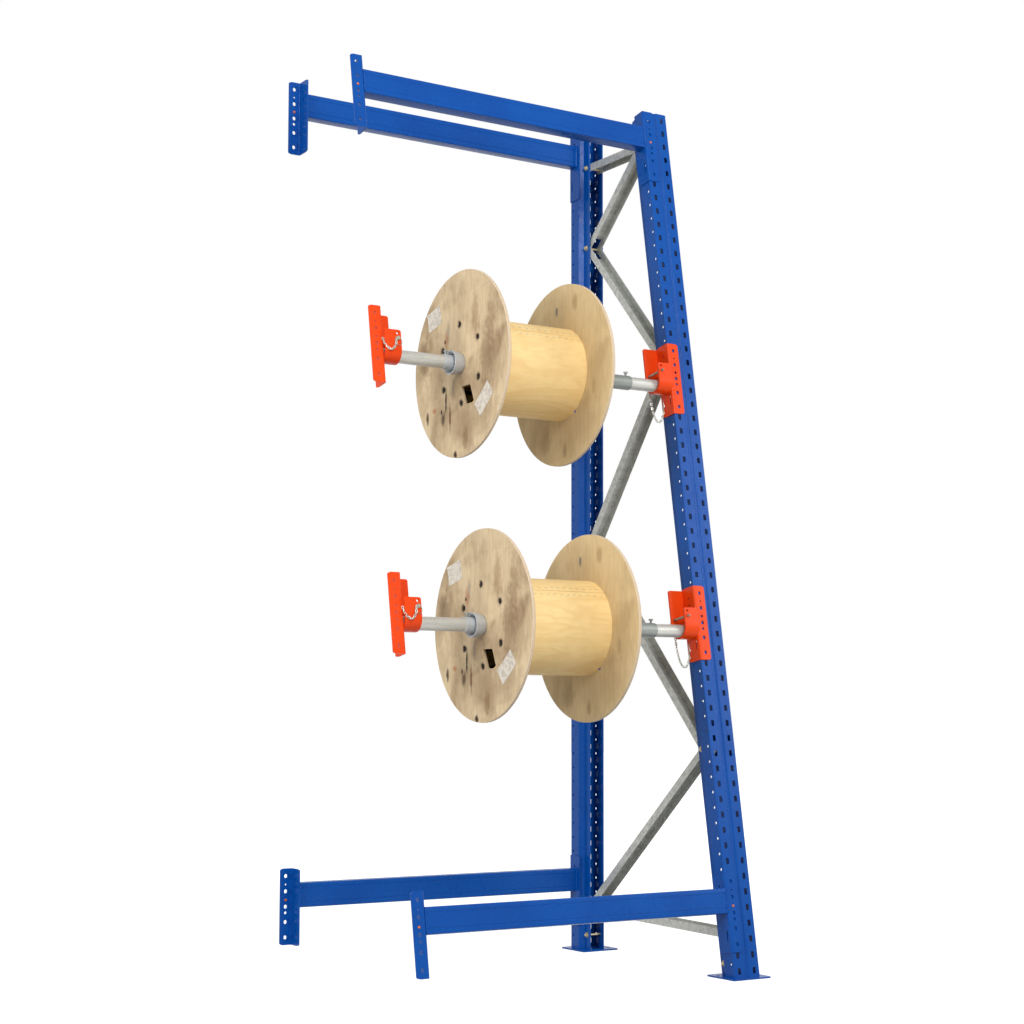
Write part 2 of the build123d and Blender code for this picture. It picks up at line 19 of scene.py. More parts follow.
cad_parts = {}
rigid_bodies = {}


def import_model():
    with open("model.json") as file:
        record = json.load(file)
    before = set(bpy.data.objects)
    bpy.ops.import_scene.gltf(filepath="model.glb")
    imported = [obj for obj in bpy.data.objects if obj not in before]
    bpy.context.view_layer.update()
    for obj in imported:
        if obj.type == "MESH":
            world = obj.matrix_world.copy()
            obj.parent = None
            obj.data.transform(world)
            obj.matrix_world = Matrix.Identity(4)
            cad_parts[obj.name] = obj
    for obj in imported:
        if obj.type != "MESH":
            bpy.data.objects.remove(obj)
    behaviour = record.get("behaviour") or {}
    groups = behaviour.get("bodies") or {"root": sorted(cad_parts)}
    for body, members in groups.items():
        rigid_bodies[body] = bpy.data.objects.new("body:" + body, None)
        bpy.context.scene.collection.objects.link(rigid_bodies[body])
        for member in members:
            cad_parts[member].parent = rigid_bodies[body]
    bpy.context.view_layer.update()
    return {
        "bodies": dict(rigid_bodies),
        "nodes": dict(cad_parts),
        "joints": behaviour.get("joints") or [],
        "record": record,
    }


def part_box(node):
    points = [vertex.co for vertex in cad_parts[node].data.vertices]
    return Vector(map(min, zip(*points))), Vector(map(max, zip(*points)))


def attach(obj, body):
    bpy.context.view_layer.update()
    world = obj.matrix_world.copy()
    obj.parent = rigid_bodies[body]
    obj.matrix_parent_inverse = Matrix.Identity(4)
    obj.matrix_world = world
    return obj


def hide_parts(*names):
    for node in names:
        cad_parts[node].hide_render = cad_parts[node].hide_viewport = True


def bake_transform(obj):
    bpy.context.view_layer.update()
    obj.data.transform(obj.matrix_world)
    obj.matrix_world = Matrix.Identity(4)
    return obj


log = logging.getLogger("rack")

MM = 0.001
SMOOTH_ANGLE = math.radians(32)
MERGE_DISTANCE = 0.00002
CUT_DISTANCE = 0.00001
TINY = 1e-6
DEAD_BAND = 1e-7
KEY_DIGITS = 5
NORMAL_WEIGHT = 90
FRAME_BODY = "frame"
LEVELS = ("upper", "lower")
SIDES = ("left", "right")
Colour = tuple[float, float, float, float]


def srgb(red: int, green: int, blue: int) -> Colour:
    """Linear colour of a red, green and blue that are given as 0 to 255 on a screen."""
    channels = []
    for value in (red, green, blue):
        share = value / 255
        channels.append(share / 12.92 if share <= 0.04045 else ((share + 0.055) / 1.055) ** 2.4)
    return (channels[0], channels[1], channels[2], 1.0)


class Coat(Enum):
    """The finishes of the rack's pieces."""

    BLUE = "blue powder coat"
    ORANGE = "orange powder coat"
    GALVANISED = "galvanised sheet"
    TUBE = "galvanised tube"
    SLEEVE = "galvanised sleeve"
    CAST = "cast cone"
    PIN = "plated pin"
    YELLOW_ZINC = "yellow zinc plate"
    # Tie bolts coloured near black, dull and without highlight, as painted shade of their recessed holes.
    DARK_BOLT = "dark bolt"
    CHAIN = "bright zinc"
    LEFT_PLY_UPPER = "upper left plywood"
    LEFT_PLY_LOWER = "lower left plywood"
    RIGHT_PLY_UPPER = "upper right plywood"
    RIGHT_PLY_LOWER = "lower right plywood"
    BARREL = "barrel veneer"
    PAPER = "label paper"
    CLIP = "clip plastic"


class Nodes:
    """A node tree with short calls that add, set and join its nodes."""

    def __init__(self, tree: bpy.types.NodeTree) -> None:
        """Keep the tree."""
        self.tree = tree

    def add(self, kind: str, values: Optional[dict[Any, Any]] = None, **attributes: Any) -> bpy.types.Node:
        """Add a node.

        Args:
            kind: The node's type name.
            values: Sockets by name or number, each with a value or with the output that feeds it.
            attributes: The node's own settings.

        Returns:
            The new node.
        """
        node = self.tree.nodes.new(kind)
        for name, setting in attributes.items():
            setattr(node, name, setting)
        self.feed(node, values or {})
        return node

    def feed(self, node: bpy.types.Node, values: dict[Any, Any]) -> None:
        """Set a node's inputs.

        Args:
            node: The node.
            values: Sockets by name or number, each with a value or with the output that feeds it.
        """
        for socket, value in values.items():
            if isinstance(value, bpy.types.NodeSocket):
                self.tree.links.new(value, node.inputs[socket])
            else:
                node.inputs[socket].default_value = value

    def math(self, operation: str, first: Any, second: Any = 0.0) -> bpy.types.NodeSocket:
        """Join two values with a Math node."""
        return self.add("ShaderNodeMath", {0: first, 1: second}, operation=operation).outputs[0]

    def vector(self, operation: str, first: Any, second: Any = (0.0, 0.0, 0.0)) -> bpy.types.NodeSocket:
        """Join two vectors with a Vector Math node."""
        joined = self.add("ShaderNodeVectorMath", {0: first, 1: second}, operation=operation)
        return joined.outputs["Value" if operation == "LENGTH" else "Vector"]

    def spread(
        self, value: Any, low: float, high: float, to_low: float = 0.0, to_high: float = 1.0
    ) -> bpy.types.NodeSocket:
        """Map a range of values to another, smoothly and within its ends."""
        values = {0: value, 1: low, 2: high, 3: to_low, 4: to_high}
        return self.add("ShaderNodeMapRange", values, interpolation_type="SMOOTHSTEP").outputs[0]

    def blend(self, share: Any, first: Any, second: Any, mode: str = "MIX") -> bpy.types.NodeSocket:
        """Mix two colours."""
        values = {0: share, 6: first, 7: second}
        return self.add("ShaderNodeMix", values, data_type="RGBA", blend_type=mode).outputs[2]

    def noise(
        self, vector: Any, scale: float, detail: float = 3.0, distortion: float = 0.0
    ) -> bpy.types.NodeSocket:
        """Add a noise texture."""
        values = {"Vector": vector, "Scale": scale, "Detail": detail, "Distortion": distortion}
        return self.add("ShaderNodeTexNoise", values).outputs[0]


class Effects:
    """Surface effects that several finishes share, each a node group that is built once."""

    def __init__(self) -> None:
        """Build the groups."""
        self.peel = self._peel()
        self.spangle = self._spangle()
        self.timber = self._timber()
        self.spot = self._spot()

    @staticmethod
    def _open(
        name: str, inputs: dict[str, tuple[str, Any]], outputs: dict[str, str]
    ) -> tuple[Nodes, Any, Any]:
        """Start a group.

        Args:
            name: The group's name.
            inputs: Each input's socket type and default.
            outputs: Each output's socket type.

        Returns:
            The group's nodes, its input node and its output node.
        """
        tree = bpy.data.node_groups.new(name, "ShaderNodeTree")
        for label, (kind, default) in inputs.items():
            socket = tree.interface.new_socket(label, in_out="INPUT", socket_type=kind)
            if default is not None:
                socket.default_value = default
        for label, kind in outputs.items():
            tree.interface.new_socket(label, in_out="OUTPUT", socket_type=kind)
        nodes = Nodes(tree)
        return nodes, nodes.add("NodeGroupInput"), nodes.add("NodeGroupOutput")

    def _peel(self) -> bpy.types.NodeTree:
        """The fine waviness, uneven tone and rubbed patches of powder coat."""
        inputs = {
            "Vector": ("NodeSocketVector", None),
            "Paint": ("NodeSocketColor", None),
            "Deep": ("NodeSocketColor", None),
            "Dust": ("NodeSocketColor", None),
        }
        outputs = {"Color": "NodeSocketColor", "Roughness": "NodeSocketFloat", "Height": "NodeSocketFloat"}
        nodes, given, result = self._open("powder_peel", inputs, outputs)
        vector = given.outputs["Vector"]
        cloud = nodes.spread(nodes.noise(vector, scale=5, detail=4), 0.35, 0.7)
        tone = nodes.blend(nodes.math("MULTIPLY", cloud, 0.35), given.outputs["Paint"], given.outputs["Deep"])
        rubbed = nodes.spread(nodes.noise(vector, scale=34, detail=6, distortion=0.6), 0.64, 0.78)
        dusted = nodes.blend(nodes.math("MULTIPLY", rubbed, 0.12), tone, given.outputs["Dust"])
        rough = nodes.spread(nodes.noise(vector, scale=60), 0.3, 0.7, to_low=0.24, to_high=0.34)
        waves = nodes.noise(vector, scale=420, detail=2)
        nodes.feed(result, {"Color": dusted, "Roughness": rough, "Height": waves})
        return nodes.tree

    def _spangle(self) -> bpy.types.NodeTree:
        """The crystals and dull streaks of zinc."""
        inputs = {
            "Vector": ("NodeSocketVector", None),
            "Light": ("NodeSocketColor", None),
            "Dark": ("NodeSocketColor", None),
            "Scale": ("NodeSocketFloat", 90.0),
        }
        outputs = {"Color": "NodeSocketColor", "Roughness": "NodeSocketFloat", "Height": "NodeSocketFloat"}
        nodes, given, result = self._open("zinc_spangle", inputs, outputs)
        vector = given.outputs["Vector"]
        cell_values = {"Vector": vector, "Scale": given.outputs["Scale"]}
        cells = nodes.add("ShaderNodeTexVoronoi", cell_values, feature="F1")
        crystal = nodes.add("ShaderNodeSeparateColor", {0: cells.outputs["Color"]}).outputs[0]
        lengthwise = nodes.add("ShaderNodeMapping", {0: vector, 3: (6, 60, 60)}).outputs[0]
        streaks = nodes.noise(lengthwise, scale=1.0, detail=5)
        drawn = nodes.spread(streaks, 0.25, 0.75, to_high=0.6)
        mottled = nodes.math("ADD", nodes.math("MULTIPLY", crystal, 0.22), drawn)
        tone = nodes.blend(mottled, given.outputs["Light"], given.outputs["Dark"])
        rough = nodes.spread(mottled, 0, 1, to_low=0.38, to_high=0.52)
        grain = nodes.noise(vector, scale=300, detail=4)
        nodes.feed(result, {"Color": tone, "Roughness": rough, "Height": grain})
        return nodes.tree

    def _timber(self) -> bpy.types.NodeTree:
        """Rotary-cut veneer: long wavy figure, fine pores and broad stains."""
        inputs = {
            "Vector": ("NodeSocketVector", None),
            "Light": ("NodeSocketColor", None),
            "Dark": ("NodeSocketColor", None),
            "Stain": ("NodeSocketColor", None),
            "Stretch": ("NodeSocketVector", None),
            "Stained": ("NodeSocketFloat", 0.5),
        }
        outputs = {"Color": "NodeSocketColor", "Height": "NodeSocketFloat"}
        nodes, given, result = self._open("cut_veneer", inputs, outputs)
        vector = given.outputs["Vector"]
        drawn = nodes.vector("MULTIPLY", vector, given.outputs["Stretch"])
        figure = nodes.noise(drawn, scale=1.0, distortion=1.6)
        rings = nodes.math("SINE", nodes.math("MULTIPLY", figure, 46.0))
        flame = nodes.spread(rings, -0.6, 1.0)
        pores = nodes.spread(nodes.noise(drawn, scale=14.0, detail=4), 0.42, 0.62)
        body = nodes.blend(nodes.math("MULTIPLY", flame, 0.24), given.outputs["Light"], given.outputs["Dark"])
        pored = nodes.blend(nodes.math("MULTIPLY", pores, 0.16), body, given.outputs["Dark"])
        broad = nodes.spread(nodes.noise(vector, scale=4.2, detail=5, distortion=0.8), 0.42, 0.66)
        small = nodes.spread(nodes.noise(vector, scale=15.0, detail=6, distortion=0.6), 0.46, 0.74)
        patches = nodes.math("ADD", nodes.math("MULTIPLY", broad, 0.7), nodes.math("MULTIPLY", small, 0.4))
        weight = nodes.math("MULTIPLY", patches, given.outputs["Stained"])
        stained = nodes.blend(weight, pored, given.outputs["Stain"])
        relief = nodes.math("ADD", pores, nodes.math("MULTIPLY", flame, 0.3))
        nodes.feed(result, {"Color": stained, "Height": relief})
        return nodes.tree

    def _spot(self) -> bpy.types.NodeTree:
        """One soft-edged oval, for a knot, a scar, a stain or a painted shade at a given place."""
        inputs = {
            "Vector": ("NodeSocketVector", None),
            "Place": ("NodeSocketVector", None),
            "Size": ("NodeSocketVector", (1.0, 1.0, 1.0)),
        }
        nodes, given, result = self._open("oval_spot", inputs, {"Mask": "NodeSocketFloat"})
        ragged = nodes.noise(given.outputs["Vector"], scale=60.0)
        wobble = nodes.math("MULTIPLY", nodes.math("SUBTRACT", ragged, 0.5), 1.1)
        away = nodes.vector("SUBTRACT", given.outputs["Vector"], given.outputs["Place"])
        reach = nodes.vector("LENGTH", nodes.vector("DIVIDE", away, given.outputs["Size"]))
        mask = nodes.spread(nodes.math("ADD", reach, wobble), 0.35, 1.25, to_low=1.0, to_high=0.0)
        nodes.feed(result, {"Mask": mask})
        return nodes.tree


def start_material(name: str) -> tuple[bpy.types.Material, Nodes, bpy.types.Node, bpy.types.NodeSocket]:
    """Start a material on Object coordinates.

    Args:
        name: The material's name.

    Returns:
        The material, its nodes, its Principled shader and its coordinates.
    """
    material = bpy.data.materials.new(name)
    material.use_nodes = True
    nodes = Nodes(material.node_tree)
    shader = material.node_tree.nodes["Principled BSDF"]
    place = nodes.add("ShaderNodeTexCoord").outputs["Object"]
    return material, nodes, shader, place


def join_bump(nodes: Nodes, shader: bpy.types.Node, height: Any, distance: float, strength: float) -> None:
    """Feed a height to a shader's normal."""
    bump = nodes.add("ShaderNodeBump", {"Height": height, "Distance": distance, "Strength": strength})
    nodes.feed(shader, {"Normal": bump.outputs[0]})


@dataclass(frozen=True)
class PowderCoat:
    """Sprayed and baked paint on steel."""

    name: str
    paint: Colour
    deep: Colour
    dust: Colour
    gloss: float = 0.16

    def material(self, effects: Effects) -> bpy.types.Material:
        """Build the paint's material."""
        material, nodes, shader, place = start_material(self.name)
        values = {"Vector": place, "Paint": self.paint, "Deep": self.deep, "Dust": self.dust}
        skin = nodes.add("ShaderNodeGroup", values, node_tree=effects.peel).outputs
        looks = {"Base Color": skin["Color"], "Roughness": skin["Roughness"]}
        nodes.feed(shader, looks | {"Specular IOR Level": self.gloss})
        join_bump(nodes, shader, skin["Height"], distance=0.0001, strength=0.2)
        return material


@dataclass(frozen=True)
class Zinc:
    """Hot-dip or plated zinc on steel."""

    name: str
    light: Colour
    dark: Colour
    crystals: float
    metallic: float = 0.85
    gloss: float = 0.5

    def material(self, effects: Effects) -> bpy.types.Material:
        """Build the zinc's material."""
        material, nodes, shader, place = start_material(self.name)
        values = {"Vector": place, "Light": self.light, "Dark": self.dark, "Scale": self.crystals}
        skin = nodes.add("ShaderNodeGroup", values, node_tree=effects.spangle).outputs
        looks = {"Base Color": skin["Color"], "Roughness": skin["Roughness"]}
        nodes.feed(shader, looks | {"Metallic": self.metallic, "Specular IOR Level": self.gloss})
        join_bump(nodes, shader, skin["Height"], distance=0.0002, strength=0.3)
        return material


@dataclass(frozen=True)
class Spot:
    """A knot, scar, stain or painted hole shade on a reel flange: its place from the flange's middle, and its
    size.
    """

    along: float
    up: float
    wide: float
    high: float
    colour: Colour
    strength: float = 1.0


@dataclass(frozen=True)
class Plywood:
    """A plywood flange: veneer faces with stains, knots and painted shade round holes, and layers that show
    at the rim.
    """

    name: str
    centre: Vector
    light: Colour
    dark: Colour
    stain: Colour
    stained: float
    spots: tuple[Spot, ...] = ()
    ply: float = 1.6 * MM
    ply_light: Colour = srgb(226, 214, 190)
    ply_dark: Colour = srgb(176, 140, 98)
    rim_from: float = 200 * MM
    rim_normal: float = 0.75
    stretch: tuple[float, float, float] = (3.0, 7.0, 1.3)
    rough: float = 0.72
    gloss: float = 0.3

    def material(self, effects: Effects) -> bpy.types.Material:
        """Build the flange's material, centred on the flange."""
        material, nodes, shader, place = start_material(self.name)
        own = nodes.add("ShaderNodeMapping", {0: place, 1: -self.centre}).outputs[0]
        values = {
            "Vector": own, "Light": self.light, "Dark": self.dark, "Stain": self.stain,
            "Stained": self.stained, "Stretch": self.stretch,
        }
        skin = nodes.add("ShaderNodeGroup", values, node_tree=effects.timber).outputs
        face = skin["Color"]
        # Spots: knots and stains, and on the left flanges black ovals of painted shade round the tie holes.
        for spot in self.spots:
            values = {
                "Vector": own, "Place": (0.0, -spot.along, spot.up), "Size": (1.0, spot.wide, spot.high),
            }
            mask = nodes.add("ShaderNodeGroup", values, node_tree=effects.spot).outputs["Mask"]
            face = nodes.blend(nodes.math("MULTIPLY", mask, spot.strength), face, spot.colour)
        deep = nodes.add("ShaderNodeSeparateXYZ", {0: own}).outputs[0]
        true_normal = nodes.add("ShaderNodeNewGeometry").outputs["True Normal"]
        normal = nodes.add("ShaderNodeSeparateXYZ", {0: true_normal}).outputs[0]
        turned = nodes.math("LESS_THAN", nodes.math("ABSOLUTE", normal), self.rim_normal)
        beyond = nodes.math("GREATER_THAN", nodes.vector("LENGTH", own), self.rim_from)
        at_rim = nodes.math("MULTIPLY", turned, beyond)
        layers = nodes.math("SINE", nodes.math("MULTIPLY", deep, math.tau / (2 * self.ply)))
        layer_tone = nodes.blend(nodes.spread(layers, -0.3, 0.3), self.ply_light, self.ply_dark)
        looks = {"Base Color": nodes.blend(at_rim, face, layer_tone), "Roughness": self.rough}
        nodes.feed(shader, looks | {"Specular IOR Level": self.gloss})
        join_bump(nodes, shader, skin["Height"], distance=0.0006, strength=0.5)
        return material


@dataclass(frozen=True)
class Veneer:
    """The thin board that is bent round a reel's barrel."""

    name: str
    light: Colour
    dark: Colour
    stain: Colour
    stained: float = 0.25
    stretch: tuple[float, float, float] = (1.6, 5.0, 5.0)
    rough: float = 0.6
    gloss: float = 0.35

    def material(self, effects: Effects) -> bpy.types.Material:
        """Build the barrel's material."""
        material, nodes, shader, place = start_material(self.name)
        values = {
            "Vector": place, "Light": self.light, "Dark": self.dark, "Stain": self.stain,
            "Stained": self.stained, "Stretch": self.stretch,
        }
        skin = nodes.add("ShaderNodeGroup", values, node_tree=effects.timber).outputs
        looks = {"Base Color": skin["Color"], "Roughness": self.rough}
        nodes.feed(shader, looks | {"Specular IOR Level": self.gloss})
        join_bump(nodes, shader, skin["Height"], distance=0.0003, strength=0.35)
        return material


@dataclass(frozen=True)
class Paper:
    """A creased paper label without print."""

    name: str
    clean: Colour
    worn: Colour
    rough: float = 0.65

    def material(self, effects: Effects) -> bpy.types.Material:
        """Build the paper's material."""
        material, nodes, shader, place = start_material(self.name)
        creases = nodes.spread(nodes.noise(place, scale=70, detail=5, distortion=0.8), 0.42, 0.66)
        tone = nodes.blend(nodes.math("MULTIPLY", creases, 0.6), self.clean, self.worn)
        nodes.feed(shader, {"Base Color": tone, "Roughness": self.rough})
        join_bump(nodes, shader, creases, distance=0.0003, strength=0.3)
        return material


@dataclass(frozen=True)
class Plastic:
    """Moulded plastic with a faint grain."""

    name: str
    colour: Colour
    shade: Colour
    rough: float = 0.45

    def material(self, effects: Effects) -> bpy.types.Material:
        """Build the plastic's material."""
        material, nodes, shader, place = start_material(self.name)
        grain = nodes.noise(place, scale=600, detail=2)
        tone = nodes.blend(nodes.spread(grain, 0.4, 0.7, to_high=0.3), self.colour, self.shade)
        nodes.feed(shader, {"Base Color": tone, "Roughness": self.rough})
        join_bump(nodes, shader, grain, distance=0.0001, strength=0.2)
        return material


class Palette:
    """Every finish of the rack as a material, by its coat."""

    def __init__(self, upper: Vector, lower: Vector, left: float, right: float) -> None:
        """Build the materials.

        Args:
            upper: A point on the upper axle's line.
            lower: A point on the lower axle's line.
            left: X of the left flanges' middle.
            right: X of the right flanges' middle.
        """
        effects = Effects()
        finishes = {
            Coat.BLUE: PowderCoat("blue_powder_coat", srgb(4, 76, 158), srgb(0, 56, 134), srgb(60, 116, 182)),
            Coat.ORANGE: PowderCoat(
                "orange_powder_coat", srgb(234, 72, 18), srgb(214, 52, 12), srgb(240, 120, 70)
            ),
            Coat.GALVANISED: Zinc("galvanised_sheet", srgb(200, 201, 195), srgb(152, 154, 147), 160.0, 0.35),
            Coat.TUBE: Zinc("galvanised_tube", srgb(204, 204, 198), srgb(168, 168, 160), 240.0, 0.4),
            Coat.SLEEVE: Zinc("galvanised_sleeve", srgb(150, 154, 150), srgb(112, 116, 112), 200.0, 0.35),
            Coat.CAST: Zinc("cast_cone", srgb(186, 190, 192), srgb(164, 169, 172), 260.0, 0.25),
            Coat.YELLOW_ZINC: Zinc("yellow_zinc", srgb(204, 192, 158), srgb(160, 144, 110), 220.0, 0.6),
            Coat.PIN: Zinc("plated_pin", srgb(176, 170, 154), srgb(120, 112, 94), 240.0, 0.5),
            # Near-black, dull zinc for the tie bolts: painted shade of the recessed holes they sit in.
            Coat.DARK_BOLT: Zinc("dark_bolt", srgb(26, 23, 20), srgb(14, 12, 11), 240.0, 0.0, 0.1),
            Coat.CHAIN: Zinc("bright_zinc", srgb(214, 214, 206), srgb(150, 148, 138), 300.0),
            Coat.BARREL: Veneer(
                "barrel_veneer", srgb(242, 212, 150), srgb(222, 178, 108), srgb(206, 166, 104)
            ),
            Coat.PAPER: Paper("label_paper", srgb(226, 218, 204), srgb(176, 166, 152)),
            Coat.CLIP: Plastic("clip_plastic", srgb(206, 104, 52), srgb(168, 76, 34)),
        }
        left_wood = (srgb(226, 204, 166), srgb(190, 162, 122), srgb(140, 112, 80))
        right_wood = (srgb(226, 202, 156), srgb(200, 172, 124), srgb(162, 134, 94))
        boards = (
            (Coat.LEFT_PLY_UPPER, upper, left, left_wood, 0.8, FLANGE_SPOTS),
            (Coat.LEFT_PLY_LOWER, lower, left, left_wood, 0.8, FLANGE_SPOTS),
            (Coat.RIGHT_PLY_UPPER, upper, right, right_wood, 0.45, FAR_FLANGE_SPOTS),
            (Coat.RIGHT_PLY_LOWER, lower, right, right_wood, 0.45, FAR_FLANGE_SPOTS),
        )
        for coat, height, x, wood, stained, spots in boards:
            centre = Vector((x, height.y, height.z))
            finishes[coat] = Plywood(coat.value.replace(" ", "_"), centre, *wood, stained, spots)
        self.materials = {coat: finish.material(effects) for coat, finish in finishes.items()}

    def __getitem__(self, coat: Coat) -> bpy.types.Material:
        """The material of a coat."""
        return self.materials[coat]


BROWN = srgb(112, 76, 44)
DARK_BROWN = srgb(64, 42, 26)
BLACK = srgb(28, 20, 16)
RUST = srgb(178, 110, 66)
GREY = srgb(130, 124, 118)
TIE_COUNT = 6
TIE_CIRCLE = 128 * MM
TIE_FIRST = math.radians(27)
TIE_MARK = (13.5 * MM, 14.5 * MM)
# Painted shade: black ovals that darken the wood round each recessed tie hole, where shade falls.
TIE_HOLE_PAINTED_SHADE = tuple(
    Spot(-TIE_CIRCLE * math.cos(angle), TIE_CIRCLE * math.sin(angle), *TIE_MARK, BLACK)
    for angle in (TIE_FIRST + number * math.tau / TIE_COUNT for number in range(TIE_COUNT))
)
# The left flanges' spots: painted shade round the tie holes, then knots, stains and scars.
FLANGE_SPOTS = TIE_HOLE_PAINTED_SHADE + (
    Spot(0.095, 0.140, 0.026, 0.085, srgb(150, 116, 80), 0.5),
    Spot(0.165, -0.010, 0.050, 0.140, srgb(128, 100, 70), 0.55),
    Spot(0.190, 0.110, 0.030, 0.100, srgb(138, 108, 76), 0.45),
    Spot(-0.235, 0.050, 0.050, 0.065, srgb(112, 86, 58), 0.6),
    Spot(-0.150, -0.020, 0.060, 0.120, srgb(150, 120, 86), 0.35),
    Spot(0.010, -0.200, 0.090, 0.060, srgb(150, 122, 88), 0.35),
    Spot(-0.092, 0.088, 0.018, 0.030, RUST, 0.5),
    Spot(-0.100, 0.085, 0.006, 0.008, BLACK),
    Spot(-0.093, -0.109, 0.007, 0.036, BLACK),
    Spot(-0.066, -0.165, 0.008, 0.044, BROWN, 0.9),
    Spot(-0.110, -0.165, 0.014, 0.030, DARK_BROWN, 0.8),
    Spot(-0.122, -0.140, 0.006, 0.010, BLACK),
    Spot(-0.170, -0.130, 0.014, 0.010, RUST, 0.7),
    Spot(-0.215, -0.150, 0.010, 0.024, DARK_BROWN, 0.9),
    Spot(-0.030, -0.288, 0.014, 0.014, DARK_BROWN),
    Spot(0.035, -0.245, 0.018, 0.045, srgb(130, 98, 64), 0.6),
    Spot(-0.045, -0.075, 0.006, 0.034, GREY, 0.7),
    Spot(-0.080, 0.120, 0.010, 0.030, GREY, 0.45),
)
FAR_FLANGE_SPOTS = (
    Spot(-0.030, 0.215, 0.008, 0.018, GREY),
    Spot(0.080, 0.230, 0.018, 0.030, srgb(160, 128, 84), 0.5),
    Spot(-0.100, -0.210, 0.040, 0.050, srgb(150, 122, 84), 0.45),
    Spot(0.190, -0.060, 0.014, 0.030, srgb(150, 120, 80), 0.4),
    Spot(0.020, -0.255, 0.014, 0.026, srgb(140, 110, 74), 0.5),
)


@dataclass(frozen=True)
class Hole:
    """A hole in a strip: its place from the strip's first edge and the cell's top, and its shape."""

    across: float
    drop: float
    radius: float
    wide: float = 0.0
    high: float = 0.0


@dataclass(frozen=True)
class Cell:
    """A length of a strip, with rows of faces, or with a hole and a ring of faces round it."""

    height: float
    rows: int = 4
    hole: Optional[Hole] = None


@dataclass(frozen=True)
class Loop:
    """A closed outline on a plate: an oval or a box with rounded corners, which may be skewed."""

    middle: tuple[float, float]
    radius: float
    steps: int
    wide: float = 0.0
    high: float = 0.0
    skew: float = 0.0


def sign_of(value: float) -> float:
    """Minus one, zero or one, with a small dead band round zero."""
    if abs(value) < DEAD_BAND:
        return 0.0
    return math.copysign(1.0, value)


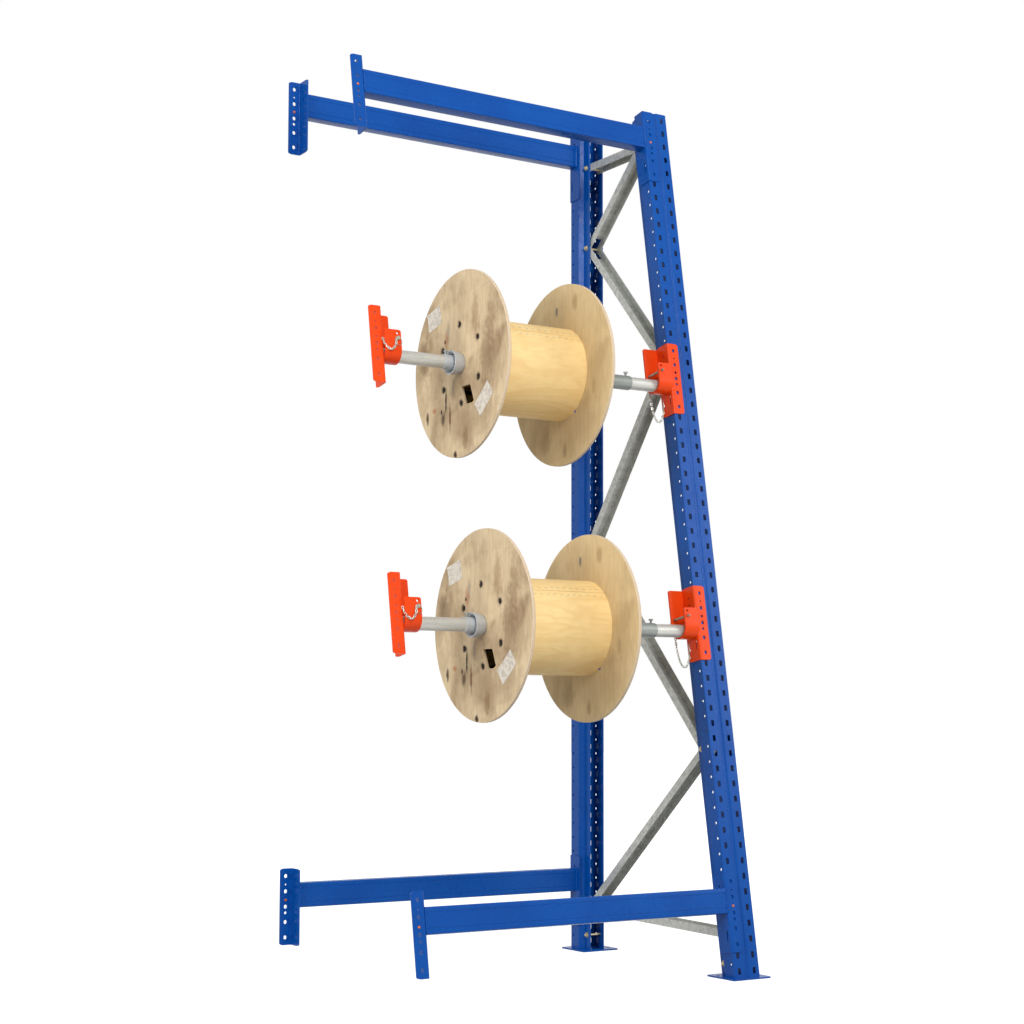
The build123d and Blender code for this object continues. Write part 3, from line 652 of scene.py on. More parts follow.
class Shape:
    """A mesh under construction, with the operations that the rack's pieces need."""

    STRIP_COLUMNS = 4

    def __init__(self) -> None:
        """Start with an empty mesh."""
        self.bm = bmesh.new()

    def move(self, verts: Iterable[bmesh.types.BMVert], way: Sequence[float]) -> None:
        """Shift some vertices."""
        bmesh.ops.translate(self.bm, verts=list(verts), vec=Vector(way))

    def place(self, matrix: Matrix, verts: Optional[Iterable[bmesh.types.BMVert]] = None) -> None:
        """Put the mesh, or some of it, in its place.

        Args:
            matrix: The place. A mirroring one turns the faces round again.
            verts: The vertices to move, or none for all of them.
        """
        chosen = list(self.bm.verts if verts is None else verts)
        bmesh.ops.transform(self.bm, matrix=matrix, verts=chosen)
        if matrix.determinant() < 0:
            faces = {face for vert in chosen for face in vert.link_faces}
            bmesh.ops.reverse_faces(self.bm, faces=list(faces))

    def weld(self) -> None:
        """Merge vertices that lie on each other."""
        bmesh.ops.remove_doubles(self.bm, verts=self.bm.verts[:], dist=MERGE_DISTANCE)

    def face_towards(self, way: Sequence[float]) -> None:
        """Give an open shell one sense, with most of its area facing a way."""
        bmesh.ops.recalc_face_normals(self.bm, faces=self.bm.faces[:])
        aim = Vector(way)
        total = sum(face.normal.dot(aim) * face.calc_area() for face in self.bm.faces)
        if total < 0:
            bmesh.ops.reverse_faces(self.bm, faces=self.bm.faces[:])

    def face_out(self) -> None:
        """Turn the faces of closed solids outwards."""
        self.weld()
        open_edges = [edge for edge in self.bm.edges if edge.is_boundary]
        bmesh.ops.holes_fill(self.bm, edges=open_edges, sides=0)
        bmesh.ops.recalc_face_normals(self.bm, faces=self.bm.faces[:])

    def loop(self, outline: Loop, grow: float = 0.0) -> list[bmesh.types.BMEdge]:
        """Draw an outline.

        Args:
            outline: The outline.
            grow: How much larger it is drawn.

        Returns:
            Its edges.
        """
        made = bmesh.ops.create_circle(
            self.bm, cap_ends=False, segments=outline.steps, radius=outline.radius + grow
        )
        for vert in made["verts"]:
            vert.co.x += sign_of(vert.co.x) * outline.wide
            vert.co.y += sign_of(vert.co.y) * outline.high
            vert.co.x += vert.co.y * outline.skew
        self.place(Matrix.Translation((*outline.middle, 0.0)), made["verts"])
        return list({edge for vert in made["verts"] for edge in vert.link_edges})

    def cell(self, width: float, top: float, cell: Cell) -> None:
        """Add a flat cell of a strip, between x of 0 and the width and down from the top.

        Args:
            width: Width of the strip.
            top: Y of the cell's top.
            cell: The cell.
        """
        made = bmesh.ops.create_grid(self.bm, x_segments=self.STRIP_COLUMNS, y_segments=cell.rows, size=0.5)
        verts = made["verts"]
        bmesh.ops.scale(self.bm, vec=(width, cell.height, 1.0), verts=verts)
        self.move(verts, (width / 2, top - cell.height / 2, 0))
        if cell.hole is None:
            return
        inner = [vert for vert in verts if not vert.is_boundary]
        rim = [vert for vert in verts if vert.is_boundary]
        bmesh.ops.delete(self.bm, geom=inner, context="VERTS")
        edges = list({edge for vert in rim for edge in vert.link_edges if edge.other_vert(vert) in rim})
        grown = bmesh.ops.extrude_edge_only(self.bm, edges=edges)["geom"]
        hole = cell.hole
        middle = Vector((hole.across, top - hole.drop, 0.0))

        def bearing(vert: bmesh.types.BMVert) -> float:
            """A vertex's direction from the hole's middle."""
            return math.atan2(vert.co.y - middle.y, vert.co.x - middle.x)

        fresh = sorted((part for part in grown if isinstance(part, bmesh.types.BMVert)), key=bearing)
        nearest = min(range(len(fresh)), key=lambda number: abs(bearing(fresh[number])))
        for number, vert in enumerate(fresh):
            turn = (number - nearest) * math.tau / len(fresh)
            side, rise = math.cos(turn), math.sin(turn)
            reach = Vector((sign_of(side) * hole.wide, sign_of(rise) * hole.high, 0.0))
            vert.co = middle + hole.radius * Vector((side, rise, 0.0)) + reach

    def strip(self, width: float, cells: Sequence[Cell], matrix: Matrix) -> None:
        """Add a strip of cells, down from y of 0, and put it in its place.

        Args:
            width: Width of the strip.
            cells: Its cells from the top down.
            matrix: Where the strip goes.
        """
        part = Shape()
        top = 0.0
        for cell in cells:
            part.cell(width, top, cell)
            top -= cell.height
        self.join(part, matrix)

    def join(self, other: "Shape", matrix: Optional[Matrix] = None) -> None:
        """Take in another shape's mesh.

        Args:
            other: The shape, which is used up.
            matrix: Its place.
        """
        if matrix is not None:
            other.place(matrix)
        mesh = bpy.data.meshes.new("part")
        other.bm.to_mesh(mesh)
        other.bm.free()
        self.bm.from_mesh(mesh)
        bpy.data.meshes.remove(mesh)

    def prism(self, outline: Sequence[tuple[float, float]], height: float) -> list[bmesh.types.BMVert]:
        """Add a straight solid on a small outline in X and Y, up along Z.

        Args:
            outline: The outline's corners in order.
            height: The solid's height.

        Returns:
            Its vertices.
        """
        base = [self.bm.verts.new((x, y, 0.0)) for x, y in outline]
        face = self.bm.faces.new(base)
        grown = bmesh.ops.extrude_face_region(self.bm, geom=[face])
        top = [item for item in grown["geom"] if isinstance(item, bmesh.types.BMVert)]
        self.move(top, (0, 0, height))
        return base + top

    def lathe(self, profile: Sequence[tuple[float, float]], steps: int) -> list[bmesh.types.BMVert]:
        """Add a turned solid about X.

        Args:
            profile: Places along X with their radius, in order.
            steps: Steps in the full turn.

        Returns:
            Its vertices.
        """
        before = set(self.bm.verts)
        points = [self.bm.verts.new((along, radius, 0.0)) for along, radius in profile]
        edges = [self.bm.edges.new(pair) for pair in zip(points, points[1:])]
        bmesh.ops.spin(
            self.bm, geom=points + edges, cent=(0, 0, 0), axis=(1, 0, 0), angle=math.tau,
            steps=steps, use_merge=True, use_duplicate=False,
        )
        made = [vert for vert in self.bm.verts if vert not in before]
        bmesh.ops.remove_doubles(self.bm, verts=made, dist=MERGE_DISTANCE / 4)
        return [vert for vert in self.bm.verts if vert not in before]

    def ring(self, radius: float, wire: float, steps: int, sides: int) -> list[bmesh.types.BMVert]:
        """Add a ring of round wire about X.

        Args:
            radius: From the ring's middle to the wire's middle.
            wire: The wire's radius.
            steps: Steps round the ring.
            sides: Sides of the wire.

        Returns:
            Its vertices.
        """
        turns = [number * math.tau / sides for number in range(sides)]
        profile = [(wire * math.sin(turn), radius + wire * math.cos(turn)) for turn in turns]
        return self.lathe(profile + profile[:1], steps)

    def drilled_plate(self, outline: Loop, holes: Sequence[Loop], thickness: float, chamfer: float) -> None:
        """Add a flat plate on Z of 0 and below, with holes and a chamfer at every edge.

        Args:
            outline: The plate's outline.
            holes: Its holes.
            thickness: The plate's thickness.
            chamfer: Size of the chamfer.
        """
        rings = [(outline, -1.0)] + [(hole, 1.0) for hole in holes]
        depths = (0.0, chamfer, thickness - chamfer, thickness)
        growths = (chamfer, 0.0, 0.0, chamfer)
        ends: list[list[bmesh.types.BMEdge]] = [[], []]
        for ring, side in rings:
            drawn = []
            for depth, growth in zip(depths, growths):
                edges = self.loop(ring, side * growth)
                self.move({vert for edge in edges for vert in edge.verts}, (0, 0, -depth))
                drawn.append(edges)
            for first, second in zip(drawn, drawn[1:]):
                bmesh.ops.bridge_loops(self.bm, edges=first + second)
            ends[0] += drawn[0]
            ends[1] += drawn[-1]
        for edges in ends:
            bmesh.ops.triangle_fill(self.bm, use_beauty=True, use_dissolve=False, edges=edges)

    def round_folds(self, radius: float, steps: int, test: Any) -> None:
        """Round the fold lines that pass a test.

        Args:
            radius: How far back the rounding starts.
            steps: Steps of the rounding.
            test: Tells whether an edge with two faces is to be rounded.
        """
        bmesh.ops.recalc_face_normals(self.bm, faces=self.bm.faces[:])
        folds = [edge for edge in self.bm.edges if len(edge.link_faces) == 2 and test(edge)]
        bmesh.ops.bevel(
            self.bm, geom=folds, offset=radius, offset_type="OFFSET", affect="EDGES",
            segments=steps, profile=0.5, material=-1, clamp_overlap=True,
        )

    def piece(self, name: str, wall: float = 0.0, edge: float = 0.0, steps: int = 2) -> bpy.types.Object:
        """Make the mesh an object, with its wall and its rounded edges.

        Args:
            name: Name of the piece.
            wall: Wall that is added behind the faces.
            edge: Width of the rounding at sharp edges.
            steps: Steps of that rounding.

        Returns:
            The object, with a plain mesh and no modifiers.
        """
        mesh = bpy.data.meshes.new(name)
        self.bm.to_mesh(mesh)
        self.bm.free()
        return finish_mesh(name, mesh, wall, edge, steps)


def finish_mesh(name: str, mesh: bpy.types.Mesh, wall: float, edge: float, steps: int) -> bpy.types.Object:
    """Make an object of a mesh, give it wall and rounded edges, and smooth its curved faces.

    Args:
        name: Name of the object.
        mesh: Its first mesh.
        wall: Wall that is added behind the faces, or 0.
        edge: Width of the rounding at sharp edges, or 0.
        steps: Steps of that rounding.

    Returns:
        The object, with a plain mesh and no modifiers.
    """
    item = bpy.data.objects.new(name, mesh)
    bpy.context.scene.collection.objects.link(item)
    if wall:
        shell = item.modifiers.new("wall", "SOLIDIFY")
        shell.thickness = wall
        shell.offset = -1.0
    if edge:
        rounding = item.modifiers.new("edge", "BEVEL")
        rounding.width = edge
        rounding.segments = steps
        rounding.limit_method = "ANGLE"
        rounding.angle_limit = SMOOTH_ANGLE
        rounding.harden_normals = False
    if wall or edge:
        bake_modifiers(item)
    item.data.polygons.foreach_set("use_smooth", [True] * len(item.data.polygons))
    item.data.set_sharp_from_angle(angle=SMOOTH_ANGLE)
    if wall or edge:
        settle = item.modifiers.new("normals", "WEIGHTED_NORMAL")
        settle.keep_sharp = True
        settle.weight = NORMAL_WEIGHT
        bake_modifiers(item)
    return item


def bake_modifiers(item: bpy.types.Object) -> None:
    """Give an object the plain mesh that its modifiers make, and remove them."""
    graph = bpy.context.evaluated_depsgraph_get()
    final = bpy.data.meshes.new_from_object(item.evaluated_get(graph))
    first = item.data
    item.modifiers.clear()
    item.data = final
    bpy.data.meshes.remove(first)
    final.name = item.name


def axes(across: Sequence[float], up: Sequence[float], out: Sequence[float]) -> Matrix:
    """A turn that lays X, Y and Z along three directions."""
    return Matrix((across, up, out)).transposed().to_4x4()


def tread(start: Vector, end: Vector) -> Matrix:
    """A place whose X runs from one point to another."""
    turn = (end - start).to_track_quat("X", "Z").to_matrix().to_4x4()
    return Matrix.Translation(start) @ turn


class Rack:
    """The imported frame: its places, and how a finished piece joins it."""

    def __init__(self, frame: dict[str, Any], palette: Palette) -> None:
        """Keep the frame and its finishes.

        Args:
            palette: The materials.
        """
        self.frame = frame
        self.palette = palette
        self.count = 0

    def fit(
        self, item: bpy.types.Object, coat: Coat, body: str = FRAME_BODY, nodes: Sequence[str] = ()
    ) -> bpy.types.Object:
        """Dress a piece, let it ride on its body and stand for its nodes.

        Args:
            item: The piece.
            coat: Its finish.
            body: The body that it rides on.
            nodes: The nodes that it stands for.

        Returns:
            The piece.
        """
        item.data.materials.clear()
        item.data.materials.append(self.palette[coat])
        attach(item, body)
        if nodes:
            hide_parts(*nodes)
        self.count += 1
        log.info("%s: %d faces, rides on %s", item.name, len(item.data.polygons), body)
        return item


@dataclass
class Face:
    """The perforated face of an upright: X across, Y up along it, Z out of it."""

    origin: Vector
    across: Vector
    up: Vector

    def matrix(self) -> Matrix:
        """The face's place."""
        out = self.across.cross(self.up)
        return Matrix.Translation(self.origin) @ axes(self.across, self.up, out)

    def at(self, across: float, up: float, out: float = 0.0) -> Matrix:
        """A place on the face with the face's own directions."""
        return self.matrix() @ Matrix.Translation((across, up, out))


@dataclass
class Layout:
    """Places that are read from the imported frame."""

    slot_pitch: float = 50 * MM
    foot_thickness: float = 5 * MM
    sheet: float = 4 * MM
    flange_front: float = 40 * MM
    faces: dict[str, Face] = field(default_factory=dict)
    lean: float = 0.0
    frame_x: float = 0.0
    axles: dict[str, Vector] = field(default_factory=dict)
    pulls: dict[str, float] = field(default_factory=dict)

    def read(self, joints: Sequence[dict[str, Any]]) -> None:
        """Work out the faces, the axles' lines and which way each pin is drawn.

        Args:
            joints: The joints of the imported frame.
        """
        by_name = {joint["name"]: joint for joint in joints}
        pull = Vector(by_name["upper_left_pin_pull"]["axis"])
        self.lean = math.atan2(abs(pull.z), abs(pull.y))
        low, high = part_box("front_upright")
        rear_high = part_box("rear_upright")[1]
        self.frame_x = (low.x + high.x) / 2
        front_y = low.y - self.foot_thickness * math.tan(self.lean)
        leaning_up = Vector((0, math.sin(self.lean), math.cos(self.lean)))
        self.faces["front"] = Face(Vector((self.frame_x, front_y, 0)), Vector((1, 0, 0)), leaning_up)
        rear_foot = Vector((self.frame_x, rear_high.y, 0))
        self.faces["rear"] = Face(rear_foot, Vector((-1, 0, 0)), Vector((0, 0, 1)))
        for level in LEVELS:
            self.axles[level] = Vector(by_name[f"{level}_reel_spin"]["pos_m"])
            for side in SIDES:
                axis = Vector(by_name[f"{level}_{side}_pin_pull"]["axis"])
                self.pulls[f"{level}_{side}"] = 1.0 if axis.y < 0 else -1.0

    def seat(self, node: str, post: str) -> tuple[float, float]:
        """Where a pressing seats across its face, and the way from there to its upright.

        Args:
            node: The pressing's node.
            post: Which upright's face it is on.

        Returns:
            The place across the face, and 1 or -1.
        """
        low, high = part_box(node)
        at_left = high.x < self.frame_x - 3 * self.flange_front
        x = low.x + self.flange_front if at_left else high.x - self.flange_front
        facing = self.faces[post].across.x
        toward = facing * (-1.0 if at_left else 1.0)
        return (x - self.frame_x) * facing, toward

    def top(self, node: str, post: str) -> float:
        """Place of a pressing's top edge along its face."""
        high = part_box(node)[1]
        if post == "rear":
            return high.z
        return (high.z - self.sheet * math.sin(self.lean)) / math.cos(self.lean)

    def along(self, point: Vector) -> tuple[float, float]:
        """A point's place up the front face, and how far behind it the point lies."""
        local = self.faces["front"].matrix().inverted() @ point
        return local.y, -local.z


@dataclass
class Uprights:
    """The two perforated, roll-formed uprights."""

    sheet: float = 2.5 * MM
    width: float = 100 * MM
    fold: float = 3 * MM
    fold_steps: int = 3
    side_depth: float = 50 * MM
    shoulder_depth: float = 58 * MM
    depth: float = 92 * MM
    throat: float = 62 * MM
    lip: float = 5 * MM
    groove_width: float = 18 * MM
    groove_floor: float = 8 * MM
    groove_depth: float = 4 * MM
    slot_wide: float = 12 * MM
    slot_high: float = 20 * MM
    slot_corner: float = 3 * MM
    slot_column: float = 30 * MM
    side_hole: float = 9 * MM
    side_hole_in: float = 14 * MM
    length: float = 3.0

    def half_outline(self, side: float) -> list[tuple[float, float]]:
        """Corners of half of the section, from the groove to the lip, as X and depth."""
        half = self.width / 2
        throat = self.throat / 2
        return [
            (side * self.groove_floor / 2, self.groove_depth),
            (side * self.groove_width / 2, 0.0),
            (side * half, 0.0),
            (side * half, self.side_depth),
            (side * throat, self.shoulder_depth),
            (side * throat, self.depth),
            (side * (throat - self.lip), self.depth),
        ]

    def cells(self, layout: Layout, first: tuple[float, float], second: tuple[float, float]) -> list[Cell]:
        """Cells of one flat of the section.

        Args:
            layout: The frame's places.
            first: The flat's first corner.
            second: Its second corner.

        Returns:
            The cells from the upright's top down.
        """
        pitch = layout.slot_pitch
        count = round(self.length / pitch)
        slotted = abs(first[1] - second[1]) < TINY and abs(abs(first[0]) - abs(second[0])) > self.slot_column
        on_side = abs(first[0] - second[0]) < TINY and abs(first[0]) > self.throat / 2 + TINY
        if slotted:
            across = self.slot_column - self.groove_width / 2
            if abs(first[0]) > abs(second[0]):
                across = self.width / 2 - self.slot_column
            wide = self.slot_wide / 2 - self.slot_corner
            high = self.slot_high / 2 - self.slot_corner
            slot = Hole(across, pitch / 2, self.slot_corner, wide, high)
            return [Cell(pitch, 4, slot)] * count
        if on_side:
            across = self.side_hole_in if first[1] < second[1] else self.side_depth - self.side_hole_in
            hole = Hole(across, pitch / 2, self.side_hole / 2)
            return [Cell(pitch / 2, 2)] + [Cell(pitch, 4, hole)] * (count - 1) + [Cell(pitch / 2, 2)]
        return [Cell(pitch, 4)] * count

    def build(self, rack: Rack, layout: Layout) -> None:
        """Make both uprights."""
        outline = list(reversed(self.half_outline(-1))) + self.half_outline(1)
        up = Vector((0, 1, 0))
        for post, face in layout.faces.items():
            shape = Shape()
            for first, second in zip(outline, outline[1:]):
                along = Vector((second[0] - first[0], 0, first[1] - second[1]))
                across = along.normalized()
                turn = axes(across, up, across.cross(up))
                start = Matrix.Translation((first[0], self.length, -first[1]))
                shape.strip(along.length, self.cells(layout, first, second), start @ turn)
            shape.weld()
            corners = {(round(x, KEY_DIGITS), round(-depth, KEY_DIGITS)) for x, depth in outline[1:-1]}

            def is_fold(edge: bmesh.types.BMEdge) -> bool:
                """Whether an edge lies on a fold of the section."""
                ends = [(round(vert.co.x, KEY_DIGITS), round(vert.co.z, KEY_DIGITS)) for vert in edge.verts]
                return ends[0] == ends[1] and ends[0] in corners

            shape.round_folds(self.fold, self.fold_steps, is_fold)
            shape.face_towards((0, 0, 1))
            shape.place(face.matrix())
            bmesh.ops.bisect_plane(
                shape.bm, geom=shape.bm.verts[:] + shape.bm.edges[:] + shape.bm.faces[:],
                dist=CUT_DISTANCE, plane_co=(0, 0, layout.foot_thickness), plane_no=(0, 0, 1),
                clear_inner=True,
            )
            rack.fit(shape.piece(f"{post}_upright_sheet", self.sheet), Coat.BLUE, nodes=[f"{post}_upright"])


@dataclass
class Bolts:
    """Hexagon bolts with washers across the uprights' rear walls."""

    flats: float = 13 * MM
    head: float = 5.3 * MM
    shank: float = 8 * MM
    washer: float = 9.5 * MM
    washer_thickness: float = 1.4 * MM
    grip: float = 62 * MM
    tail: float = 4 * MM
    depth: float = 75 * MM
    crown: float = 0.86
    crown_from: float = 0.8
    washer_steps: int = 20
    shank_steps: int = 14
    foot_places: dict[str, tuple[float, ...]] = field(
        default_factory=lambda: {"front": (55 * MM,), "rear": (55 * MM,)}
    )
    brace_places: dict[str, tuple[float, ...]] = field(
        default_factory=lambda: {
            "front": (150 * MM, 750 * MM, 2100 * MM, 2900 * MM),
            "rear": (150 * MM, 1450 * MM, 2550 * MM, 2850 * MM),
        }
    )

    def hexagon(self, shape: Shape, start: float, height: float) -> None:
        """Add a hexagon head or nut along X, with chamfered corners.

        Args:
            shape: The mesh.
            start: X of its foot.
            height: Its height, which may be negative.
        """
        corner = self.flats / math.sqrt(3)
        profile = [
            (0.0, 0.0), (0.0, corner), (height * self.crown_from, corner), (height, corner * self.crown),
            (height, 0.0),
        ]
        shape.move(shape.lathe(profile, 6), (start, 0, 0))

    def bolt(self, shape: Shape) -> None:
        """Add a bolt along X round the middle of its grip."""
        half = self.grip / 2
        radius = self.shank / 2
        outer = half + self.washer_thickness
        for side in (-1.0, 1.0):
            ring = [
                (side * half, radius), (side * half, self.washer), (side * outer, self.washer),
                (side * outer, radius),
            ]
            shape.lathe(ring + ring[:1], self.washer_steps)
            self.hexagon(shape, side * outer, side * self.head)
        end = half + self.head + self.tail
        shank = [(-half, 0.0), (-half, radius), (end - MM, radius), (end, radius - MM), (end, 0.0)]
        shape.lathe(shank, self.shank_steps)

    def build(self, rack: Rack, layout: Layout) -> None:
        """Make the foot bolts and the brace bolts."""
        for node, places in (("foot_bolts", self.foot_places), ("brace_bolts", self.brace_places)):
            shape = Shape()
            for post, ups in places.items():
                for up in ups:
                    part = Shape()
                    self.bolt(part)
                    shape.join(part, layout.faces[post].at(0, up, -self.depth))
            shape.face_out()
            rack.fit(shape.piece(f"{node}_zinc"), Coat.YELLOW_ZINC, nodes=[node])


@dataclass
class Softened:
    """Pieces that keep their node's shape and get rounded edges: the braces and the feet."""

    brace_edge: float = 1.2 * MM
    foot_edge: float = 0.8 * MM
    flat: float = math.radians(1)

    def build(self, rack: Rack) -> None:
        """Make a softened piece for each brace and footplate."""
        for name in sorted(rack.frame["nodes"]):
            if name.endswith("_footplate"):
                self.soften(rack, name, Coat.BLUE, self.foot_edge)
            elif "brace" in name and not name.endswith("bolts"):
                self.soften(rack, name, Coat.GALVANISED, self.brace_edge)

    def soften(self, rack: Rack, node: str, coat: Coat, edge: float) -> None:
        """Copy a node's mesh, merge it and round its edges.

        Args:
            rack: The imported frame.
            node: The node.
            coat: The piece's finish.
            edge: Width of the rounding.
        """
        shape = Shape()
        shape.bm.from_mesh(rack.frame["nodes"][node].data)
        shape.weld()
        bmesh.ops.dissolve_limit(
            shape.bm, angle_limit=self.flat, use_dissolve_boundaries=False,
            verts=shape.bm.verts[:], edges=shape.bm.edges[:],
        )
        rack.fit(shape.piece(f"{node}_sheet", 0.0, edge), coat, nodes=[node])


@dataclass
class Pressing:
    """The hooked angle of a beam connector or of a cradle hanger."""

    sheet: float = 4 * MM
    front: float = 40 * MM
    side: float = 64 * MM
    length: float = 250 * MM
    bend: float = 6 * MM
    edge: float = 0.7 * MM
    corner: float = 2.6 * MM
    unit: float = 12.5 * MM
    hook_column: float = 20 * MM
    hook_window: float = 10.8 * MM
    hook_width: float = 2.6 * MM
    hook_thickness: float = 4 * MM
    hook_drop: float = 14 * MM
    hook_first: float = 25 * MM
    hook_pitch: float = 50 * MM
    hook_tongue: float = 2.8 * MM
    hook_edge: float = 0.5 * MM
    window: Hole = Hole(0.0, 12.5 * MM, 5.2 * MM, 0.2 * MM, 1.3 * MM)
    small_hole: float = 3 * MM
    small_below: float = 52.5 * MM
    clip_hole: float = 4.6 * MM
    clip_below: float = 103 * MM
    round_hole: float = 4.6 * MM
    round_below: float = 145 * MM
    side_hole: float = 4 * MM
    side_holes_below: tuple[float, float] = (38 * MM, 61 * MM)
    side_hole_behind: float = 32 * MM
    slot_below: float = 196 * MM
    slot_behind: float = 16 * MM
    slot_half: float = 17 * MM
    slot_round: float = 3.5 * MM

    def front_cells(self) -> list[Cell]:
        """Cells of the front flange, from the top down."""
        across = self.front - self.hook_column
        unit = self.unit
        pair = 2 * unit

        def window() -> Cell:
            """The cell with the opening over a hook."""
            hole = Hole(across, unit, self.window.radius, self.window.wide, self.window.high)
            return Cell(pair, 4, hole)

        def drilled(below: float, radius: float, top: float) -> Cell:
            """A cell with a round hole at a place below the pressing's top."""
            return Cell(pair, 4, Hole(across, below - top, radius))

        return [
            Cell(unit, 2), window(),
            drilled(self.small_below, self.small_hole, 3 * unit), window(),
            drilled(self.clip_below, self.clip_hole, 7 * unit), window(),
            drilled(self.round_below, self.round_hole, 11 * unit), window(),
            Cell(pair, 4), window(), Cell(unit, 2),
        ]

    def side_cells(self) -> list[Cell]:
        """Cells of the side flange, from the top down."""
        pair = 2 * self.unit
        cells = [Cell(pair, 4)]
        for number, below in enumerate(self.side_holes_below):
            drop = below - (number + 1) * pair
            cells.append(Cell(pair, 4, Hole(self.side_hole_behind, drop, self.side_hole)))
        cells += [Cell(pair, 4)] * 4
        drop = self.slot_below - 7 * pair
        slot = Hole(self.slot_behind, drop, self.slot_round, 0.0, self.slot_half - self.slot_round)
        cells.append(Cell(2 * pair, 8, slot))
        cells.append(Cell(pair, 4))
        return cells

    def shell(self) -> Shape:
        """The bent flanges, with X towards the upright, Y up from the pressing's top and Z out."""
        shape = Shape()
        front_width = self.front + self.sheet
        turned = axes((-1, 0, 0), (0, 1, 0), (0, 0, -1))
        shape.strip(front_width, self.front_cells(), Matrix.Translation((self.front, 0, self.sheet)) @ turned)
        back = axes((0, 0, -1), (0, 1, 0), (1, 0, 0))
        shape.strip(self.side, self.side_cells(), Matrix.Translation((-self.sheet, 0, self.sheet)) @ back)
        shape.weld()
        for vert in shape.bm.verts:
            at_end = vert.co.y > -MERGE_DISTANCE or vert.co.y < -self.length + MERGE_DISTANCE
            at_front = vert.co.x > self.front - MERGE_DISTANCE
            at_back = vert.co.z < self.sheet - self.side + MERGE_DISTANCE
            if at_end and (at_front or at_back):
                inward = 1.0 if vert.co.y < -self.length / 2 else -1.0
                vert.co.y += inward * self.corner
                vert.co.x -= self.corner if at_front else 0.0
                vert.co.z += self.corner if at_back else 0.0

        def is_fold(edge: bmesh.types.BMEdge) -> bool:
            """Whether an edge lies on the bend."""
            return all(
                abs(vert.co.x + self.sheet) < MERGE_DISTANCE and abs(vert.co.z - self.sheet) < MERGE_DISTANCE
                for vert in edge.verts
            )

        shape.round_folds(self.bend, 4, is_fold)
        shape.face_towards((-1, 0, 1))
        return shape

    def hooks(self, toward: float) -> Shape:
        """The five hooks, in the same directions, each bent back from one side of its window.

        Args:
            toward: The way across the face from the seat to the upright.

        Returns:
            The hooks.
        """
        shape = Shape()
        side = self.hook_column - toward * (self.hook_window - self.hook_width) / 2
        half = self.sheet / 2
        reach = self.hook_tongue + self.hook_thickness
        count = round(self.length / self.hook_pitch)
        for number in range(count):
            root = self.window.radius + self.window.high - self.hook_first - number * self.hook_pitch
            outline = [
                (half, root), (half, root + self.hook_thickness), (-reach, root + self.hook_thickness),
                (-reach, root - self.hook_drop), (-self.hook_tongue, root - self.hook_drop),
                (-self.hook_tongue, root),
            ]
            verts = shape.prism(outline, self.hook_width)
            turn = axes((0, 0, 1), (0, 1, 0), (-1, 0, 0))
            shape.place(Matrix.Translation((side + self.hook_width / 2, 0, 0)) @ turn, verts)
        shape.face_out()
        return shape

    def build(self, rack: Rack, layout: Layout) -> None:
        """Make every connector and hanger."""
        for name in sorted(rack.frame["nodes"]):
            if name.endswith("_connector"):
                self.make(rack, layout, name, name.split("_")[0], Coat.BLUE)
            elif name.endswith("_hanger"):
                self.make(rack, layout, name, "front", Coat.ORANGE)

    def make(self, rack: Rack, layout: Layout, node: str, post: str, coat: Coat) -> None:
        """Make one pressing at its node's place.

        Args:
            rack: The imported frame.
            layout: The frame's places.
            node: The pressing's node.
            post: The upright whose face it is on.
            coat: Its finish.
        """
        seat, toward = layout.seat(node, post)
        place = layout.faces[post].at(seat, layout.top(node, post)) @ Matrix.Diagonal((toward, 1, 1, 1))
        shell = self.shell()
        shell.place(place)
        hooks = self.hooks(toward)
        hooks.place(place)
        item = shell.piece(f"{node}_pressing", self.sheet, self.edge)
        rack.fit(item, coat, nodes=[node])
        rack.fit(hooks.piece(f"{node}_hooks", edge=self.hook_edge), coat)


